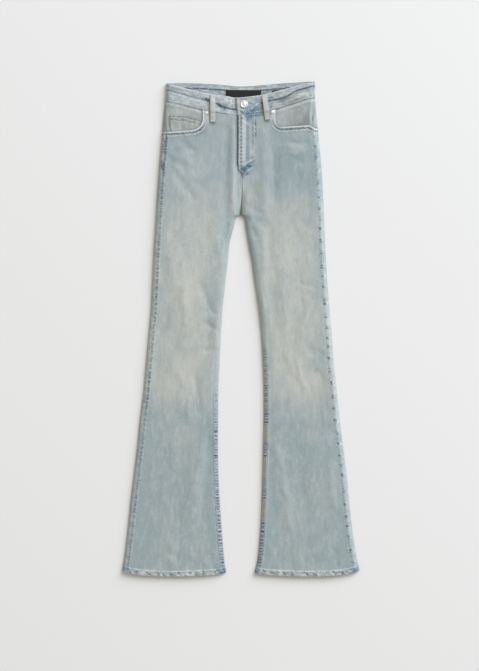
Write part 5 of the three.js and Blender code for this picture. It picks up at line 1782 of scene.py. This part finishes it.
SIDES = ("left", "right")
pieces = {}
for side in SIDES:
    pieces[f"front_{side}"] = front_panel(side)
    pieces[f"back_{side}"] = back_panel(side)
    pieces[f"yoke_{side}"] = yoke_piece(side)
    pieces[f"back_pocket_{side}"] = back_pocket(side)
    pieces[f"pocket_facing_{side}"] = pocket_facing(side)
    pieces[f"waistband_front_{side}"] = front_band(side)
    pieces[f"belt_loop_front_{side}"] = front_loop(side)
pieces["waistband_back"] = back_band()
pieces["coin_pocket"] = coin_pocket()
for name, centre in BACK_LOOPS.items():
    pieces[f"belt_loop_back_{name}"] = back_loop(name, centre)
for name, sizes in LABELS.items():
    pieces[f"label_{name}"] = label(name, *sizes)

for node, piece in pieces.items():
    stand_for(piece, node)
stand_for(button_piece(), "button")
for side in RIVETS:
    stand_for(rivet_piece(side), f"rivet_{side}")
for piece in zip_pieces():
    stand_for(piece, "zip")

for side in OUT:
    front_stitching(side)
for side in OUT:
    back_stitching(side)
bartacks()
band_stitching()
buttonhole_stitching()
loop_stitching()
coin_stitching()


FLOOR_HALF = 20000


def floor_stage():
    """A plain pale floor."""
    half = FLOOR_HALF
    n = Nodes("pale floor")
    grain = n.noise(millimetres(n, 0.4, 0.4), 1.0, 3.0)
    n.finish(Base_Color=n.blend(grain, linear(233, 233, 232), linear(236, 236, 235)), Roughness=0.9)
    mesh = bpy.data.meshes.new("floor")
    corners = [(-half, -half, 0), (half, -half, 0), (half, half, 0), (-half, half, 0)]
    mesh.from_pydata((np.array(corners) / 1000).tolist(), [], [(0, 1, 2, 3)])
    mesh.materials.append(n.material)
    floor = bpy.data.objects.new("floor", mesh)
    bpy.context.scene.collection.objects.link(floor)


floor_stage()


def soft_light():
    """An even, slightly warm room with a large soft key light from the upper right."""
    world = bpy.data.worlds.new("room")
    world.use_nodes = True
    background = world.node_tree.nodes["Background"]
    background.inputs["Color"].default_value = (1.0, 0.95, 0.85, 1)
    background.inputs["Strength"].default_value = 0.515
    bpy.context.scene.world = world
    lamp = bpy.data.lights.new("key", "AREA")
    lamp.shape = "DISK"
    lamp.size = 9.6
    lamp.energy = 1760
    lamp.color = (0.85, 0.9, 1.0)
    key = bpy.data.objects.new("key", lamp)
    key.location = Vector((0.62, 0.59, 0.52)) * 12
    key.rotation_euler = (-key.location).to_track_quat("-Z", "Y").to_euler()
    key.visible_camera = False
    bpy.context.scene.collection.objects.link(key)


def photo_camera():
    """The camera, straight above the jeans."""
    lens = bpy.data.cameras.new("camera")
    lens.lens = 97.26
    lens.sensor_width = 36
    camera = bpy.data.objects.new("camera", lens)
    camera.location = (-0.00295, -0.01475, 4.0)
    bpy.context.scene.collection.objects.link(camera)
    bpy.context.scene.camera = camera


soft_light()
photo_camera()
bpy.context.scene.view_settings.view_transform = "Standard"
